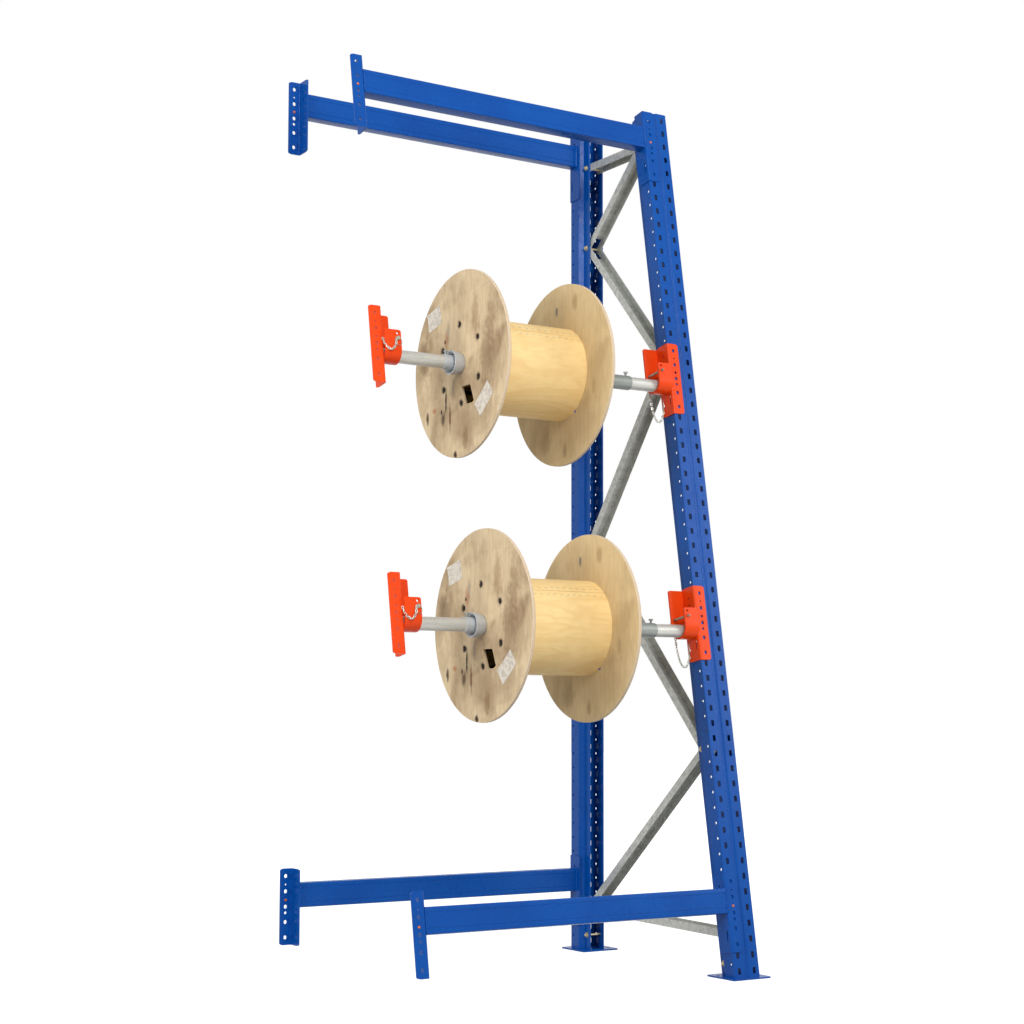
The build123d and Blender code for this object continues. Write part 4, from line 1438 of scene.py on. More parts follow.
@dataclass
class Beams:
    """Box beams with two rolled lines, and the weld seams at their ends."""

    height: float = 80 * MM
    depth: float = 45 * MM
    corner: float = 3.5 * MM
    line_inset: float = 17 * MM
    line_width: float = 5 * MM
    line_depth: float = 1 * MM
    sheet: float = 4 * MM
    below_connector: float = 46 * MM
    weld: float = 2.6 * MM
    weld_steps: int = 26
    weld_least: float = 0.72
    weld_ripple: float = 0.28
    weld_noise: float = 0.08
    ripple_steps: float = 2.5

    def outline(self) -> list[tuple[float, float]]:
        """The section's corners: X behind the face and Y up, round the middle."""
        half_height = self.height / 2
        half_depth = self.depth / 2
        points = []
        for side in (-1.0, 1.0):
            wall = [(side * half_depth, -half_height)]
            for line in (-1.0, 1.0):
                middle = line * (half_height - self.line_inset)
                wall += [
                    (side * half_depth, middle - self.line_width / 2),
                    (side * (half_depth - self.line_depth), middle - self.line_width / 4),
                    (side * (half_depth - self.line_depth), middle + self.line_width / 4),
                    (side * half_depth, middle + self.line_width / 2),
                ]
            wall.append((side * half_depth, half_height))
            points += wall if side > 0 else list(reversed(wall))
        return points

    def build(self, rack: Rack, layout: Layout) -> None:
        """Make the four beams and their welds."""
        for post, face in layout.faces.items():
            for level in ("top", "bottom"):
                node = f"{post}_{level}_beam"
                low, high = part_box(node)
                top = layout.top(f"{post}_{level}_left_connector", post)
                up = top - self.below_connector - self.height / 2
                middle_x = ((low.x + high.x) / 2 - layout.frame_x) * face.across.x
                length = high.x - low.x
                shape = Shape()
                shape.prism(self.outline(), length)
                corners = [
                    edge for edge in shape.bm.edges
                    if abs(edge.verts[0].co.z - edge.verts[1].co.z) > length / 2
                    and abs(abs(edge.verts[0].co.y) - self.height / 2) < MERGE_DISTANCE
                ]
                bmesh.ops.bevel(
                    shape.bm, geom=corners, offset=self.corner, affect="EDGES", segments=4, profile=0.5,
                    material=-1,
                )
                shape.face_out()
                turn = axes((0, 0, -1), (0, 1, 0), (1, 0, 0))
                behind = self.depth / 2 - self.sheet
                shape.place(face.at(middle_x - length / 2, up, -behind) @ turn)
                rack.fit(shape.piece(f"{node}_box"), Coat.BLUE, nodes=[node])
                self.welds(rack, face, node, middle_x, length, up, behind)

    def welds(
        self, rack: Rack, face: Face, node: str, middle: float, length: float, up: float, behind: float
    ) -> None:
        """Make the bead round each end of a beam.

        Args:
            rack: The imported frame.
            face: The face that the beam is hung on.
            node: The beam's node.
            middle: Middle of the beam across the face.
            length: The beam's length.
            up: Its middle up the face.
            behind: Its middle behind the face.
        """
        seeds = random.Random(node)
        shape = Shape()
        half = self.height / 2 - self.corner
        for end in (-1.0, 1.0):
            across = middle + end * length / 2
            for out in (-1.0, 1.0):
                part = Shape()
                self.bead(part, 2 * half, seeds)
                lean = Matrix.Rotation(math.pi / 2, 4, "Z")
                part.place(face.at(across, up - half, out * self.depth / 2 - behind) @ lean)
                shape.join(part)
        shape.face_out()
        rack.fit(shape.piece(f"{node}_welds"), Coat.BLUE)

    def bead(self, shape: Shape, length: float, seeds: random.Random) -> None:
        """Add one bead along X: a rippled round bar that ends in points.

        Args:
            shape: The mesh.
            length: The bead's length.
            seeds: The ripples' source.
        """
        profile = [(0.0, 0.0)]
        for step in range(1, self.weld_steps):
            share = step / self.weld_steps
            ripple = self.weld_ripple * abs(math.sin(step * math.pi / self.ripple_steps))
            swell = self.weld_least + ripple + seeds.uniform(-self.weld_noise, self.weld_noise)
            profile.append((share * length, self.weld * swell))
        profile.append((length, 0.0))
        shape.lathe(profile, 8)


@dataclass
class Clips:
    """The safety clips, each a domed plug in its connector's clip hole with a body behind."""

    below_top: float = 103 * MM
    column: float = 20 * MM
    sheet: float = 4 * MM
    radius: float = 4.2 * MM
    dome: float = 1.6 * MM
    neck: float = 3 * MM
    dome_shape: tuple[tuple[float, float], ...] = ((0.6, 0.86), (0.9, 0.5))

    def build(self, rack: Rack, layout: Layout) -> None:
        """Make all the clips as one piece."""
        shape = Shape()
        for post, face in layout.faces.items():
            for level in ("top", "bottom"):
                for side in SIDES:
                    node = f"{post}_{level}_{side}_connector"
                    seat, toward = layout.seat(node, post)
                    part = Shape()
                    profile = [
                        (-self.sheet, 0.0), (-self.sheet, self.neck), (0.0, self.neck), (0.0, self.radius),
                        (self.sheet, self.radius),
                    ]
                    for rise, share in self.dome_shape:
                        profile.append((self.sheet + rise * self.dome, share * self.radius))
                    part.lathe(profile + [(self.sheet + self.dome, 0.0)], 16)
                    place = face.at(seat + toward * self.column, layout.top(node, post) - self.below_top)
                    part.place(place @ Matrix.Rotation(-math.pi / 2, 4, "Y"))
                    shape.join(part)
        shape.face_out()
        rack.fit(shape.piece("beam_clips"), Coat.CLIP, nodes=["beam_safety_clips"])


@dataclass
class Cradles:
    """The bent plates that the axles lie in."""

    plate: float = 6 * MM
    radius: float = 41 * MM
    width: float = 56 * MM
    rise: float = 13.5 * MM
    sheet: float = 4 * MM
    front_top: float = 58.5 * MM
    rear_top: float = 131.5 * MM
    hole_in: float = 12 * MM
    hole: float = 4.5 * MM
    hole_up: float = 30.5 * MM
    second_hole_up: float = 47.5 * MM
    cell: float = 20 * MM
    corner: float = 7 * MM
    tip_cuts: int = 4
    arc_steps: int = 16
    edge: float = 0.9 * MM

    def wall(self, shape: Shape, top: float, out: float, cells: Sequence[Cell]) -> None:
        """Add a wall from its top down to the start of the bend."""
        shape.strip(self.width, cells, Matrix.Translation((0, top, out)))

    def shell(self) -> Shape:
        """The bent plate's outer face, with X towards the bay, Y up and Z out."""
        shape = Shape()
        across = self.width - self.hole_in
        pin = Cell(self.cell, 4, Hole(across, 2 * self.cell - self.hole_up, self.hole))
        above = self.front_top - 2 * self.cell
        second = Cell(above, 2, Hole(across, self.front_top - self.second_hole_up, self.hole))
        self.wall(shape, self.front_top, self.radius, [second, pin, Cell(self.cell, 2)])
        rear_above = Cell(self.rear_top - 2 * self.cell, 6)
        self.wall(shape, self.rear_top, -self.radius, [rear_above, pin, Cell(self.cell, 2)])
        shape.weld()
        seam = [
            edge for edge in shape.bm.edges
            if all(abs(vert.co.y) < MERGE_DISTANCE and vert.co.z > 0 for vert in edge.verts)
        ]
        start = list({vert for edge in seam for vert in edge.verts})
        bmesh.ops.spin(
            shape.bm, geom=start + seam, cent=(0, 0, 0), axis=(1, 0, 0), angle=math.pi,
            steps=self.arc_steps, use_duplicate=False,
        )
        shape.weld()
        self.round_tip(shape, self.front_top, self.radius)
        self.round_tip(shape, self.rear_top, -self.radius)
        shape.face_towards((0, -1, 0))
        return shape

    def round_tip(self, shape: Shape, top: float, out: float) -> None:
        """Round a wall's top bay corner by cuts that touch its arc.

        Args:
            shape: The mesh.
            top: Place of the wall's top above the bend's middle.
            out: Place of the wall in front of that middle.
        """
        middle = Vector((self.width - self.corner, top - self.corner, out))
        for cut in range(1, self.tip_cuts + 1):
            angle = cut * math.pi / 2 / (self.tip_cuts + 1)
            lean = Vector((math.cos(angle), math.sin(angle), 0.0))
            faces = [
                face for face in shape.bm.faces
                if all(abs(vert.co.z - out) < MERGE_DISTANCE for vert in face.verts)
            ]
            edges = list({edge for face in faces for edge in face.edges})
            verts = list({vert for face in faces for vert in face.verts})
            bmesh.ops.bisect_plane(
                shape.bm, geom=verts + edges + faces, dist=CUT_DISTANCE,
                plane_co=middle + lean * self.corner, plane_no=lean, clear_outer=True,
            )

    def build(self, rack: Rack, layout: Layout) -> None:
        """Make the four cradles."""
        face = layout.faces["front"]
        for level in LEVELS:
            along, behind = layout.along(layout.axles[level])
            for side in SIDES:
                seat, toward = layout.seat(f"{level}_{side}_hanger", "front")
                start = seat - toward * self.sheet
                shell = self.shell()
                shell.place(face.at(start, along + self.rise, -behind) @ Matrix.Diagonal((-toward, 1, 1, 1)))
                item = shell.piece(f"{level}_{side}_cradle_plate", self.plate, self.edge)
                rack.fit(item, Coat.ORANGE, nodes=[f"{level}_{side}_cradle"])


@dataclass
class Pins:
    """The safety pins across the cradles, each with a collar and a thin pull ring."""

    shaft: float = 4 * MM
    collar: float = 6.4 * MM
    collar_length: float = 6 * MM
    reach: float = 41.3 * MM
    tail: float = 12 * MM
    ring: float = 12 * MM
    wire: float = 0.8 * MM
    up: float = 44 * MM
    across: float = 48 * MM
    sway: float = math.radians(-2)
    rim: float = 0.6 * MM

    def pin(self) -> Shape:
        """One pin along X, with its collar from X of 0 and its ring below."""
        shape = Shape()
        end = -(self.tail + 2 * self.reach)
        shoulder = self.collar - self.rim
        profile = [
            (end, 0.0), (end, 0.5 * self.shaft), (end + 0.8 * self.shaft, self.shaft), (0.0, self.shaft),
            (0.0, shoulder), (self.rim, self.collar), (self.collar_length - self.rim, self.collar),
            (self.collar_length, shoulder), (self.collar_length, 0.0),
        ]
        shape.lathe(profile, 20)
        verts = shape.ring(self.ring, self.wire, 28, 8)
        shape.place(Matrix.Rotation(self.sway, 4, "Z") @ Matrix.Translation((0, -self.ring, 0)), verts)
        shape.move(verts, (self.collar_length / 2, 0, 0))
        shape.face_out()
        return shape

    def place(self, layout: Layout, level: str, side: str) -> Matrix:
        """Where a pin's collar starts, with X the way that it is drawn.

        Args:
            layout: The frame's places.
            level: The cradle's level.
            side: The cradle's side.

        Returns:
            The place.
        """
        along, behind = layout.along(layout.axles[level])
        seat, toward = layout.seat(f"{level}_{side}_hanger", "front")
        way = layout.pulls[f"{level}_{side}"]
        face = layout.faces["front"]
        middle = face.at(seat - toward * self.across, along + self.up, way * self.reach - behind)
        return middle @ Matrix.Rotation(-way * math.pi / 2, 4, "Y")

    def build(self, rack: Rack, layout: Layout) -> None:
        """Make the four pins."""
        for level in LEVELS:
            for side in SIDES:
                shape = self.pin()
                shape.place(self.place(layout, level, side))
                item = shape.piece(f"{level}_{side}_drawn_pin")
                rack.fit(item, Coat.PIN, f"{level}_{side}_pin", [f"{level}_{side}_safety_pin"])


@dataclass
class Chains:
    """The keeper chains, link by link, from the hangers to the pins' collars."""

    wire: float = 1.4 * MM
    width: float = 8.4 * MM
    length: float = 13.4 * MM
    steps: int = 12
    sides: int = 6
    sheet: float = 4 * MM
    first_roll: float = 35.0
    front: tuple[tuple[float, float, float], ...] = (
        (-3 * MM, 44 * MM, 5 * MM), (-1 * MM, -4 * MM, 25 * MM), (28 * MM, -16 * MM, 27 * MM),
        (38.7 * MM, 46 * MM, 20.3 * MM),
    )
    rear: tuple[tuple[float, float, float], ...] = (
        (0.0, -39.5 * MM, -48 * MM), (2 * MM, -150 * MM, -56 * MM), (42 * MM, -150 * MM, -82 * MM),
        (38.7 * MM, 46 * MM, -68.3 * MM),
    )
    samples: int = 240

    def route(self, points: Sequence[Vector]) -> list[Vector]:
        """Even steps of half a link's pitch along a soft curve.

        Args:
            points: The curve's two ends with its two pulls between them.

        Returns:
            The places, from the start on.
        """
        first, second, third, last = points
        dense = []
        for step in range(self.samples + 1):
            share = step / self.samples
            rest = 1 - share
            early = first * rest ** 3 + second * 3 * rest ** 2 * share
            dense.append(early + third * 3 * rest * share ** 2 + last * share ** 3)
        pitch = self.length - 4 * self.wire
        kept = [dense[0]]
        walked = 0.0
        for here, there in zip(dense, dense[1:]):
            walked += (there - here).length
            if walked >= pitch / 2:
                kept.append(there)
                walked -= pitch / 2
        return kept

    def chain(self, points: Sequence[Vector]) -> Shape:
        """The links along a curve, each turned a quarter against the last.

        Args:
            points: The curve's two ends with its two pulls between them.

        Returns:
            The links.
        """
        shape = Shape()
        places = self.route(points)
        stretch = (self.length - self.width) / 2
        for number, index in enumerate(range(1, len(places) - 1, 2)):
            link = Shape()
            verts = link.ring(self.width / 2 - self.wire, self.wire, self.steps, self.sides)
            link.place(Matrix.Rotation(math.pi / 2, 4, "Y"), verts)
            for vert in verts:
                vert.co.x += sign_of(vert.co.x) * stretch
            before, after = places[index - 1], places[index + 1]
            roll = Matrix.Rotation(math.radians(self.first_roll + 90 * (number % 2)), 4, "X")
            here = tread(before, after)
            here.translation = (before + after) / 2
            link.place(here @ roll)
            shape.join(link)
        shape.face_out()
        return shape

    def build(self, rack: Rack, layout: Layout) -> None:
        """Make the four chains, each between its hanger and its moving pin."""
        face = layout.faces["front"]
        for level in LEVELS:
            along = layout.along(layout.axles[level])[0]
            for side in SIDES:
                seat, toward = layout.seat(f"{level}_{side}_hanger", "front")
                route = self.front if layout.pulls[f"{level}_{side}"] > 0 else self.rear
                start = face.at(seat - toward * self.sheet, along) @ Matrix.Diagonal((-toward, 1, 1, 1))
                points = [start @ Vector(point) for point in route]
                item = self.chain(points).piece(f"{level}_{side}_keeper_chain")
                item.data.materials.append(rack.palette[Coat.CHAIN])
                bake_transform(item)
                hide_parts("keeper_chains")


@dataclass
class Axles:
    """The tube axles and the cones that centre the reels on them."""

    outer: float = 21.2 * MM
    inner: float = 18 * MM
    chamfer: float = 0.6 * MM
    bore: float = 21.3 * MM
    tip: float = 25 * MM
    seat: float = 22.1 * MM
    seat_radius: float = 29.9 * MM
    bell: tuple[tuple[float, float], ...] = (
        (0.0, 0.0), (7 * MM, 3.1 * MM), (16 * MM, 5.9 * MM), (27 * MM, 8 * MM),
    )
    base: float = 39 * MM
    cone_length: float = 62 * MM
    collar: float = 24.15 * MM
    dish_depth: float = 17 * MM
    rim: float = 2.2 * MM
    screw: float = 4 * MM
    screw_head: float = 5.3 * MM
    screw_length: float = 16 * MM
    steps: int = 56

    def build(self, rack: Rack, layout: Layout) -> None:
        """Make both axles and their four cones."""
        for level in LEVELS:
            centre = layout.axles[level]
            low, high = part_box(f"{level}_axle")
            shape = Shape()
            profile = [
                (low.x, self.inner), (low.x, self.outer - self.chamfer),
                (low.x + self.chamfer, self.outer), (high.x - self.chamfer, self.outer),
                (high.x, self.outer - self.chamfer), (high.x, self.inner),
            ]
            shape.lathe(profile + profile[:1], self.steps)
            shape.face_out()
            shape.place(Matrix.Translation((0, centre.y, centre.z)))
            rack.fit(shape.piece(f"{level}_axle_tube"), Coat.TUBE, f"{level}_reel", [f"{level}_axle"])
            for side in SIDES:
                self.cone(rack, layout, level, side)

    def cone(self, rack: Rack, layout: Layout, level: str, side: str) -> None:
        """Make a cone with its collar and its clamping screw.

        Args:
            rack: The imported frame.
            layout: The frame's places.
            level: The reel's level.
            side: The reel's side.
        """
        centre = layout.axles[level]
        low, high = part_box(f"{level}_{side}_cone")
        span = high.x - low.x
        outward = -1.0 if side == "left" else 1.0
        tip = high.x if side == "left" else low.x
        length = self.cone_length
        shape = Shape()
        profile = [(0.0, self.bore), (0.0, self.tip - MM), (MM, self.tip + 0.3 * MM)]
        profile += [(self.seat + along, self.seat_radius + out) for along, out in self.bell]
        profile += [
            (length - self.rim, self.base - 0.2 * MM), (length - 0.4 * self.rim, self.base),
            (length, self.base - 0.45 * self.rim), (length, self.base - self.rim),
            (length - 0.8 * MM, self.base - 1.7 * self.rim),
            (length - 0.6 * self.dish_depth, self.collar + 5 * MM),
            (length - self.dish_depth, self.collar + 1.5 * MM), (length - self.dish_depth, self.collar),
            (span - MM, self.collar), (span, self.collar - MM), (span, self.bore),
        ]
        shape.lathe(profile + profile[:1], self.steps)
        shape.face_out()
        turn = Matrix.Translation((tip, centre.y, centre.z)) @ Matrix.Diagonal((outward, 1, 1, 1))
        shape.place(turn)
        body = f"{level}_{side}_cone_set"
        coat = Coat.CAST if side == "left" else Coat.SLEEVE
        rack.fit(shape.piece(f"{level}_{side}_cup_cone"), coat, body, [f"{level}_{side}_cone"])
        screw_low, screw_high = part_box(f"{level}_{side}_cone_screw")
        screw = Shape()
        bolts = Bolts()
        neck = self.screw_length - self.screw_head
        bolts.hexagon(screw, neck, self.screw_head)
        screw.lathe([(0.0, 0.0), (0.0, self.screw), (neck, self.screw), (neck, 0.0)], bolts.shank_steps)
        screw.face_out()
        foot = Vector(((screw_low.x + screw_high.x) / 2, centre.y, screw_high.z - self.screw_length))
        screw.place(Matrix.Translation(foot) @ Matrix.Rotation(-math.pi / 2, 4, "Y"))
        item = screw.piece(f"{level}_{side}_clamp_screw")
        rack.fit(item, Coat.SLEEVE, body, [f"{level}_{side}_cone_screw"])


@dataclass(frozen=True)
class Label:
    """A blank paper label on a flange: its place from the flange's middle, its size and tilt."""

    name: str
    along: float
    up: float
    wide: float
    high: float
    tilt: float


@dataclass
class Reels:
    """The plywood reels: two flanges, a bent board between them, tie bolts and blank labels."""

    radius: float = 300 * MM
    thickness: float = 10 * MM
    bore: float = 30 * MM
    tie_circle: float = TIE_CIRCLE
    tie_hole: float = 9 * MM
    tie_count: int = TIE_COUNT
    tie_first: float = TIE_FIRST
    tie_depth: float = 5 * MM
    tie_head: float = 3.6 * MM
    tie_rod: float = 5 * MM
    plug: float = 8.8 * MM
    chamfer: float = 0.8 * MM
    slot: Loop = Loop((-46 * MM, -104 * MM), 6 * MM, 24, 23 * MM, 24 * MM, 0.433)
    barrel: float = 151.5 * MM
    barrel_wall: float = 8 * MM
    seam_gap: float = 1.4 * MM
    seam_angle: float = math.radians(135)
    staple_rows: tuple[float, float] = (math.radians(129), math.radians(141))
    staple_pitch: float = 24 * MM
    staple: float = 11 * MM
    staple_wire: float = 0.7 * MM
    staple_seeds: dict[str, int] = field(default_factory=lambda: {"upper": 7, "lower": 11})
    staple_lean: float = 0.5
    lean_noise: float = 0.2
    angle_noise: float = 0.008
    pitch_noise: float = 3.0
    board_steps: int = 112
    label_lift: float = 1.6 * MM
    label_crinkle: float = 0.25
    label_gap: float = 0.45 * MM
    label_sheet: float = 0.25 * MM
    labels: tuple[Label, ...] = (
        Label("high_slip", 171 * MM, 173 * MM, 86 * MM, 62 * MM, math.radians(14)),
        Label("low_slip", -150 * MM, -132 * MM, 101 * MM, 56 * MM, math.radians(39)),
    )
    upright: Matrix = field(default_factory=lambda: axes((0, 1, 0), (0, 0, 1), (1, 0, 0)))

    def build(self, rack: Rack, layout: Layout) -> None:
        """Make both reels."""
        for level in LEVELS:
            centre = layout.axles[level]
            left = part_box(f"{level}_left_flange")[0].x
            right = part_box(f"{level}_right_flange")[1].x
            self.flange(rack, layout, level, "left", left + self.thickness)
            self.flange(rack, layout, level, "right", right)
            self.board(rack, level, centre, left + self.thickness, right - self.thickness)
            self.staples(rack, level, centre, left + self.thickness, right - self.thickness)
            self.ties(rack, level, centre, left, right)
            for label in self.labels:
                self.slip(rack, level, centre, left, label)

    def flange(self, rack: Rack, layout: Layout, level: str, side: str, plus_face: float) -> None:
        """Make a flange with its bore, tie holes and cable slot.

        Args:
            rack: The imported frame.
            layout: The frame's places.
            level: The reel's level.
            side: Which flange it is.
            plus_face: X of the face that looks to the right.
        """
        centre = layout.axles[level]
        holes = [Loop((0.0, 0.0), self.bore, 40), self.slot]
        for number in range(self.tie_count):
            angle = self.tie_first + number * math.tau / self.tie_count
            place = (self.tie_circle * math.cos(angle), self.tie_circle * math.sin(angle))
            holes.append(Loop(place, self.tie_hole, 20))
        shape = Shape()
        rim = Loop((0.0, 0.0), self.radius, self.board_steps)
        shape.drilled_plate(rim, holes, self.thickness, self.chamfer)
        shape.face_out()
        shape.place(Matrix.Translation((plus_face, centre.y, centre.z)) @ self.upright)
        coat = Coat[f"{side.upper()}_PLY_{level.upper()}"]
        rack.fit(shape.piece(f"{level}_{side}_round"), coat, f"{level}_reel", [f"{level}_{side}_flange"])

    def board(self, rack: Rack, level: str, centre: Vector, start: float, end: float) -> None:
        """Make the bent board of the barrel, with the gap where its ends meet.

        Args:
            rack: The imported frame.
            level: The reel's level.
            centre: A point on the axle's line.
            start: X of the board's first edge.
            end: X of its other edge.
        """
        shape = Shape()
        profile = [(start, self.barrel - self.barrel_wall), (start, self.barrel), (end, self.barrel)]
        points = [shape.bm.verts.new((x, radius, 0.0)) for x, radius in profile]
        points.append(shape.bm.verts.new((end, self.barrel - self.barrel_wall, 0.0)))
        section = shape.bm.faces.new(points)
        angle = math.tau - self.seam_gap / self.barrel
        bmesh.ops.spin(
            shape.bm, geom=[section], cent=(0, 0, 0), axis=(1, 0, 0), angle=angle,
            steps=self.board_steps, use_duplicate=False,
        )
        shape.face_out()
        turn = Matrix.Rotation(self.seam_angle, 4, "X")
        shape.place(Matrix.Translation((0, centre.y, centre.z)) @ turn)
        rack.fit(shape.piece(f"{level}_barrel_board"), Coat.BARREL, f"{level}_reel", [f"{level}_barrel"])

    def staples(self, rack: Rack, level: str, centre: Vector, start: float, end: float) -> None:
        """Make the staples along the seam, in two rows that lean against each other.

        Args:
            rack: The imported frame.
            level: The reel's level.
            centre: A point on the axle's line.
            start: X of the board's first edge.
            end: X of its other edge.
        """
        seeds = random.Random(self.staple_seeds[level])
        shape = Shape()
        half = self.staple / 2
        wire = self.staple_wire
        for row, angle in enumerate(self.staple_rows):
            along = start + 0.6 * self.staple_pitch * (row + 1) / 2 + half
            while along < end - half:
                outline = [(-half, -wire), (half, -wire), (half, wire), (-half, wire)]
                verts = shape.prism(outline, 2 * wire)
                tilt = self.staple_lean if row else -self.staple_lean
                lean = tilt + seeds.uniform(-self.lean_noise, self.lean_noise)
                around = angle + seeds.uniform(-self.angle_noise, self.angle_noise)
                top = Matrix.Translation((along, 0, self.barrel - 0.9 * wire)) @ Matrix.Rotation(lean, 4, "Z")
                shape.place(Matrix.Rotation(around - math.pi / 2, 4, "X") @ top, verts)
                along += self.staple_pitch + seeds.uniform(-self.pitch_noise, self.pitch_noise) * MM
        shape.face_out()
        shape.place(Matrix.Translation((0, centre.y, centre.z)))
        rack.fit(shape.piece(f"{level}_barrel_staples"), Coat.CHAIN, f"{level}_reel")

    def ties(self, rack: Rack, level: str, centre: Vector, left: float, right: float) -> None:
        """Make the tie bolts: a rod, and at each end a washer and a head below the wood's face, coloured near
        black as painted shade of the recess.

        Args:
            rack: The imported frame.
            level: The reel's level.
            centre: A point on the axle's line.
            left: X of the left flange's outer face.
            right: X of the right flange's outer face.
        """
        shape = Shape()
        bolts = Bolts()
        first, last = left + self.tie_depth, right - self.tie_depth
        deep = self.tie_depth + MM
        for number in range(self.tie_count):
            angle = self.tie_first + number * math.tau / self.tie_count
            part = Shape()
            part.lathe(
                [
                    (first, 0.0), (first, self.plug), (first + deep, self.plug), (first + deep, self.tie_rod),
                    (last - deep, self.tie_rod), (last - deep, self.plug), (last, self.plug), (last, 0.0),
                ],
                18,
            )
            bolts.hexagon(part, first, -self.tie_head)
            bolts.hexagon(part, last, self.tie_head)
            y = centre.y + self.tie_circle * math.cos(angle)
            z = centre.z + self.tie_circle * math.sin(angle)
            shape.join(part, Matrix.Translation((0, y, z)))
        shape.face_out()
        # The near-black coat is painted shade of the recessed tie holes.
        rack.fit(shape.piece(f"{level}_tie_rods"), Coat.DARK_BOLT, f"{level}_reel", [f"{level}_tie_bolts"])

    def slip(self, rack: Rack, level: str, centre: Vector, face: float, label: Label) -> None:
        """Make a blank label whose corners have begun to lift.

        Args:
            rack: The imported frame.
            level: The reel's level.
            centre: A point on the axle's line.
            face: X of the flange's outer face.
            label: The label's place and size.
        """
        seeds = random.Random(label.name)
        shape = Shape()
        made = bmesh.ops.create_grid(shape.bm, x_segments=10, y_segments=8, size=0.5)
        bmesh.ops.scale(shape.bm, vec=(label.wide, label.high, 1), verts=made["verts"])
        for vert in shape.bm.verts:
            reach = abs(2 * vert.co.x / label.wide) * abs(2 * vert.co.y / label.high)
            vert.co.z = self.label_lift * reach ** 3 + seeds.uniform(0.0, self.label_crinkle) * MM
        outward = axes((0, -1, 0), (0, 0, 1), (-1, 0, 0))
        spot = Vector((face - self.label_gap, centre.y + label.along, centre.z + label.up))
        shape.place(Matrix.Translation(spot) @ outward @ Matrix.Rotation(label.tilt, 4, "Z"))
        shape.face_towards((-1, 0, 0))
        item = shape.piece(f"{level}_{label.name}", self.label_sheet)
        rack.fit(item, Coat.PAPER, f"{level}_reel")


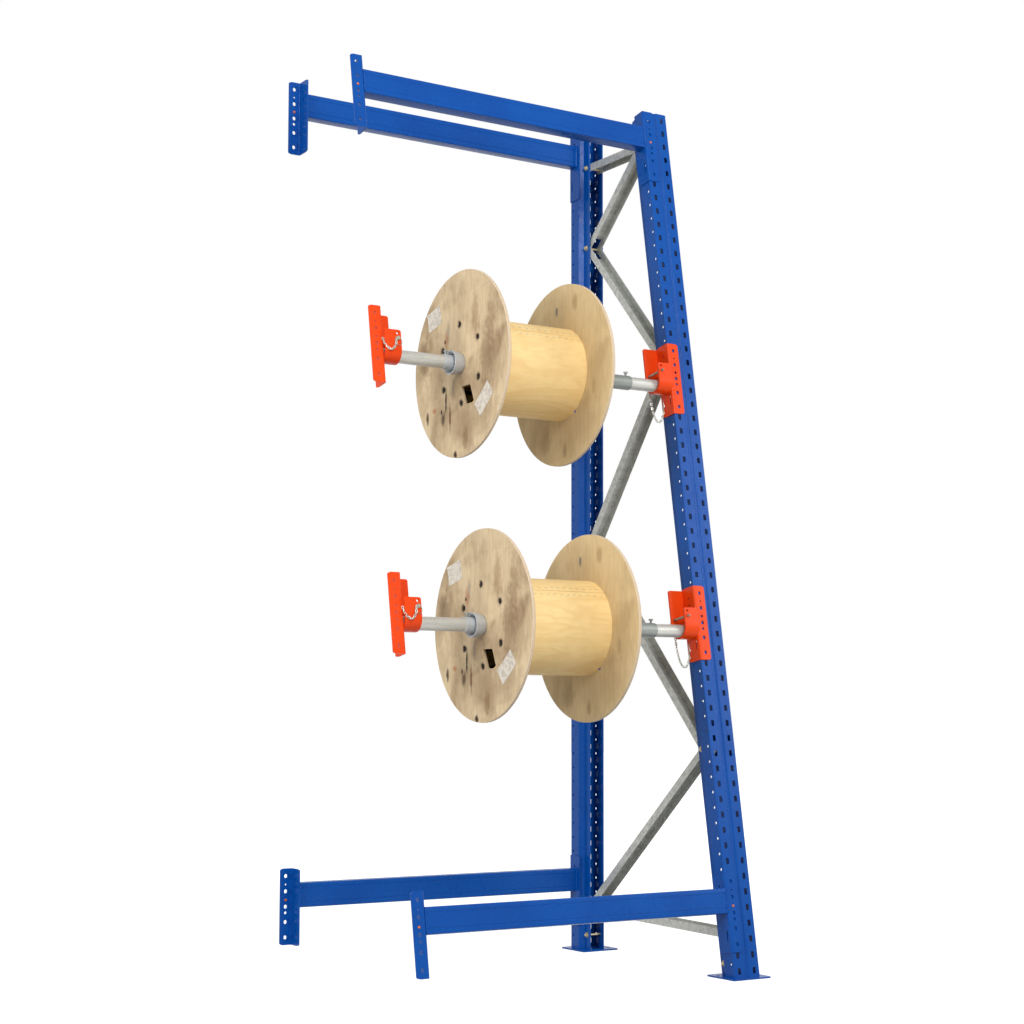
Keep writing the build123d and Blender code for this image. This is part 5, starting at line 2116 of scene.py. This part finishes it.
@dataclass
class Studio:
    """The camera at the photograph's angle, the floor, the lamps and the white surround."""

    place: tuple[float, float, float] = (-3.22882, -5.26523, 0.83889)
    heading: float = -0.5716
    tilt: float = 0.07497
    lens: float = 66.31173
    shift: tuple[float, float] = (-0.05296, 0.06)
    surround: float = 0.42
    floor_size: float = 60.0
    floor_tone: float = 0.5
    floor_lift: float = 0.77
    shadow_zone: tuple[float, float] = (1.6, 4.0)
    sensor: float = 36.0
    lamps: tuple[tuple[str, tuple[float, float, float], float], ...] = (
        ("front_lamp", (-1.2, -5.6, 4.6), 265.0),
        ("left_lamp", (-5.2, -1.2, 2.6), 130.0),
        ("right_lamp", (4.6, -3.4, 3.0), 100.0),
    )
    lamp_size: float = 2.6
    lamp_aim: tuple[float, float, float] = (0.0, 0.0, 1.4)

    def build(self) -> None:
        """Set up the camera, the surround, the floor and the lamps."""
        self.camera()
        self.world()
        self.floor()
        for name, place, power in self.lamps:
            self.lamp(name, place, power)

    def camera(self) -> None:
        """Add the camera and make it the scene's."""
        data = bpy.data.cameras.new("camera")
        data.lens = self.lens
        data.sensor_width = self.sensor
        data.sensor_fit = "HORIZONTAL"
        data.shift_x, data.shift_y = self.shift
        data.clip_end = 200.0
        item = bpy.data.objects.new("camera", data)
        item.location = self.place
        item.rotation_euler = (math.pi / 2 + self.tilt, 0.0, self.heading)
        bpy.context.scene.collection.objects.link(item)
        bpy.context.scene.camera = item

    def world(self) -> None:
        """White where the camera, metal or glass sees it, and plain soft light elsewhere."""
        world = bpy.data.worlds.new("surround")
        world.use_nodes = True
        nodes = Nodes(world.node_tree)
        rays = nodes.add("ShaderNodeLightPath").outputs
        seen = nodes.math("MAXIMUM", rays["Is Camera Ray"], rays["Is Glossy Ray"])
        seen = nodes.math("MAXIMUM", seen, rays["Is Transmission Ray"])
        strength = nodes.math("ADD", nodes.math("MULTIPLY", seen, 1.0 - self.surround), self.surround)
        background = world.node_tree.nodes["Background"]
        nodes.feed(background, {"Color": (1.0, 1.0, 1.0, 1.0), "Strength": strength})
        bpy.context.scene.world = world
        bpy.context.scene.view_settings.view_transform = "Standard"

    def floor(self) -> None:
        """Add the pale floor, which keeps the rack's shadow."""
        shape = Shape()
        bmesh.ops.create_grid(shape.bm, x_segments=2, y_segments=2, size=self.floor_size / 2)
        item = shape.piece("floor")
        material, nodes, shader, place = start_material("pale_floor")
        cloud = nodes.spread(nodes.noise(place, scale=0.6, detail=2), 0.2, 0.8)
        tone = self.floor_tone
        pale = (tone, tone, tone, 1.0)
        dim = (tone - 0.02, tone - 0.02, tone - 0.015, 1.0)
        rays = nodes.add("ShaderNodeLightPath").outputs
        seen = nodes.math("MAXIMUM", rays["Is Camera Ray"], rays["Is Glossy Ray"])
        away = nodes.vector("LENGTH", place)
        glow = nodes.spread(away, *self.shadow_zone, to_low=self.floor_lift)
        nodes.feed(shader, {
            "Base Color": nodes.blend(cloud, pale, dim), "Roughness": 0.9, "Specular IOR Level": 0.1,
            "Emission Color": nodes.math("MULTIPLY", seen, glow), "Emission Strength": 1.0,
        })
        item.data.materials.append(material)

    def lamp(self, name: str, place: tuple[float, float, float], power: float) -> None:
        """Add a soft square lamp that looks at the rack's middle.

        Args:
            name: The lamp's name.
            place: Where it stands.
            power: Its power in watts.
        """
        data = bpy.data.lights.new(name, "AREA")
        data.shape = "SQUARE"
        data.size = self.lamp_size
        data.energy = power
        item = bpy.data.objects.new(name, data)
        item.location = place
        way = Vector(self.lamp_aim) - Vector(place)
        item.rotation_euler = way.to_track_quat("-Z", "Y").to_euler()
        bpy.context.scene.collection.objects.link(item)


def main() -> None:
    """Build the studio and the rack's sub-assemblies in order."""
    logging.basicConfig(level=logging.INFO, format="%(name)s: %(message)s")
    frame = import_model()
    Studio().build()
    layout = Layout()
    layout.read(frame["joints"])
    left_low, left_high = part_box("upper_left_flange")
    right_low, right_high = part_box("upper_right_flange")
    left, right = (left_low.x + left_high.x) / 2, (right_low.x + right_high.x) / 2
    rack = Rack(frame, Palette(layout.axles["upper"], layout.axles["lower"], left, right))
    Uprights().build(rack, layout)
    Bolts().build(rack, layout)
    Softened().build(rack)
    Pressing().build(rack, layout)
    Beams().build(rack, layout)
    Clips().build(rack, layout)
    Cradles().build(rack, layout)
    Pins().build(rack, layout)
    Chains().build(rack, layout)
    Axles().build(rack, layout)
    Reels().build(rack, layout)
    log.info("%d pieces fitted, and four chains", rack.count)


if __name__ == "__main__":
    main()
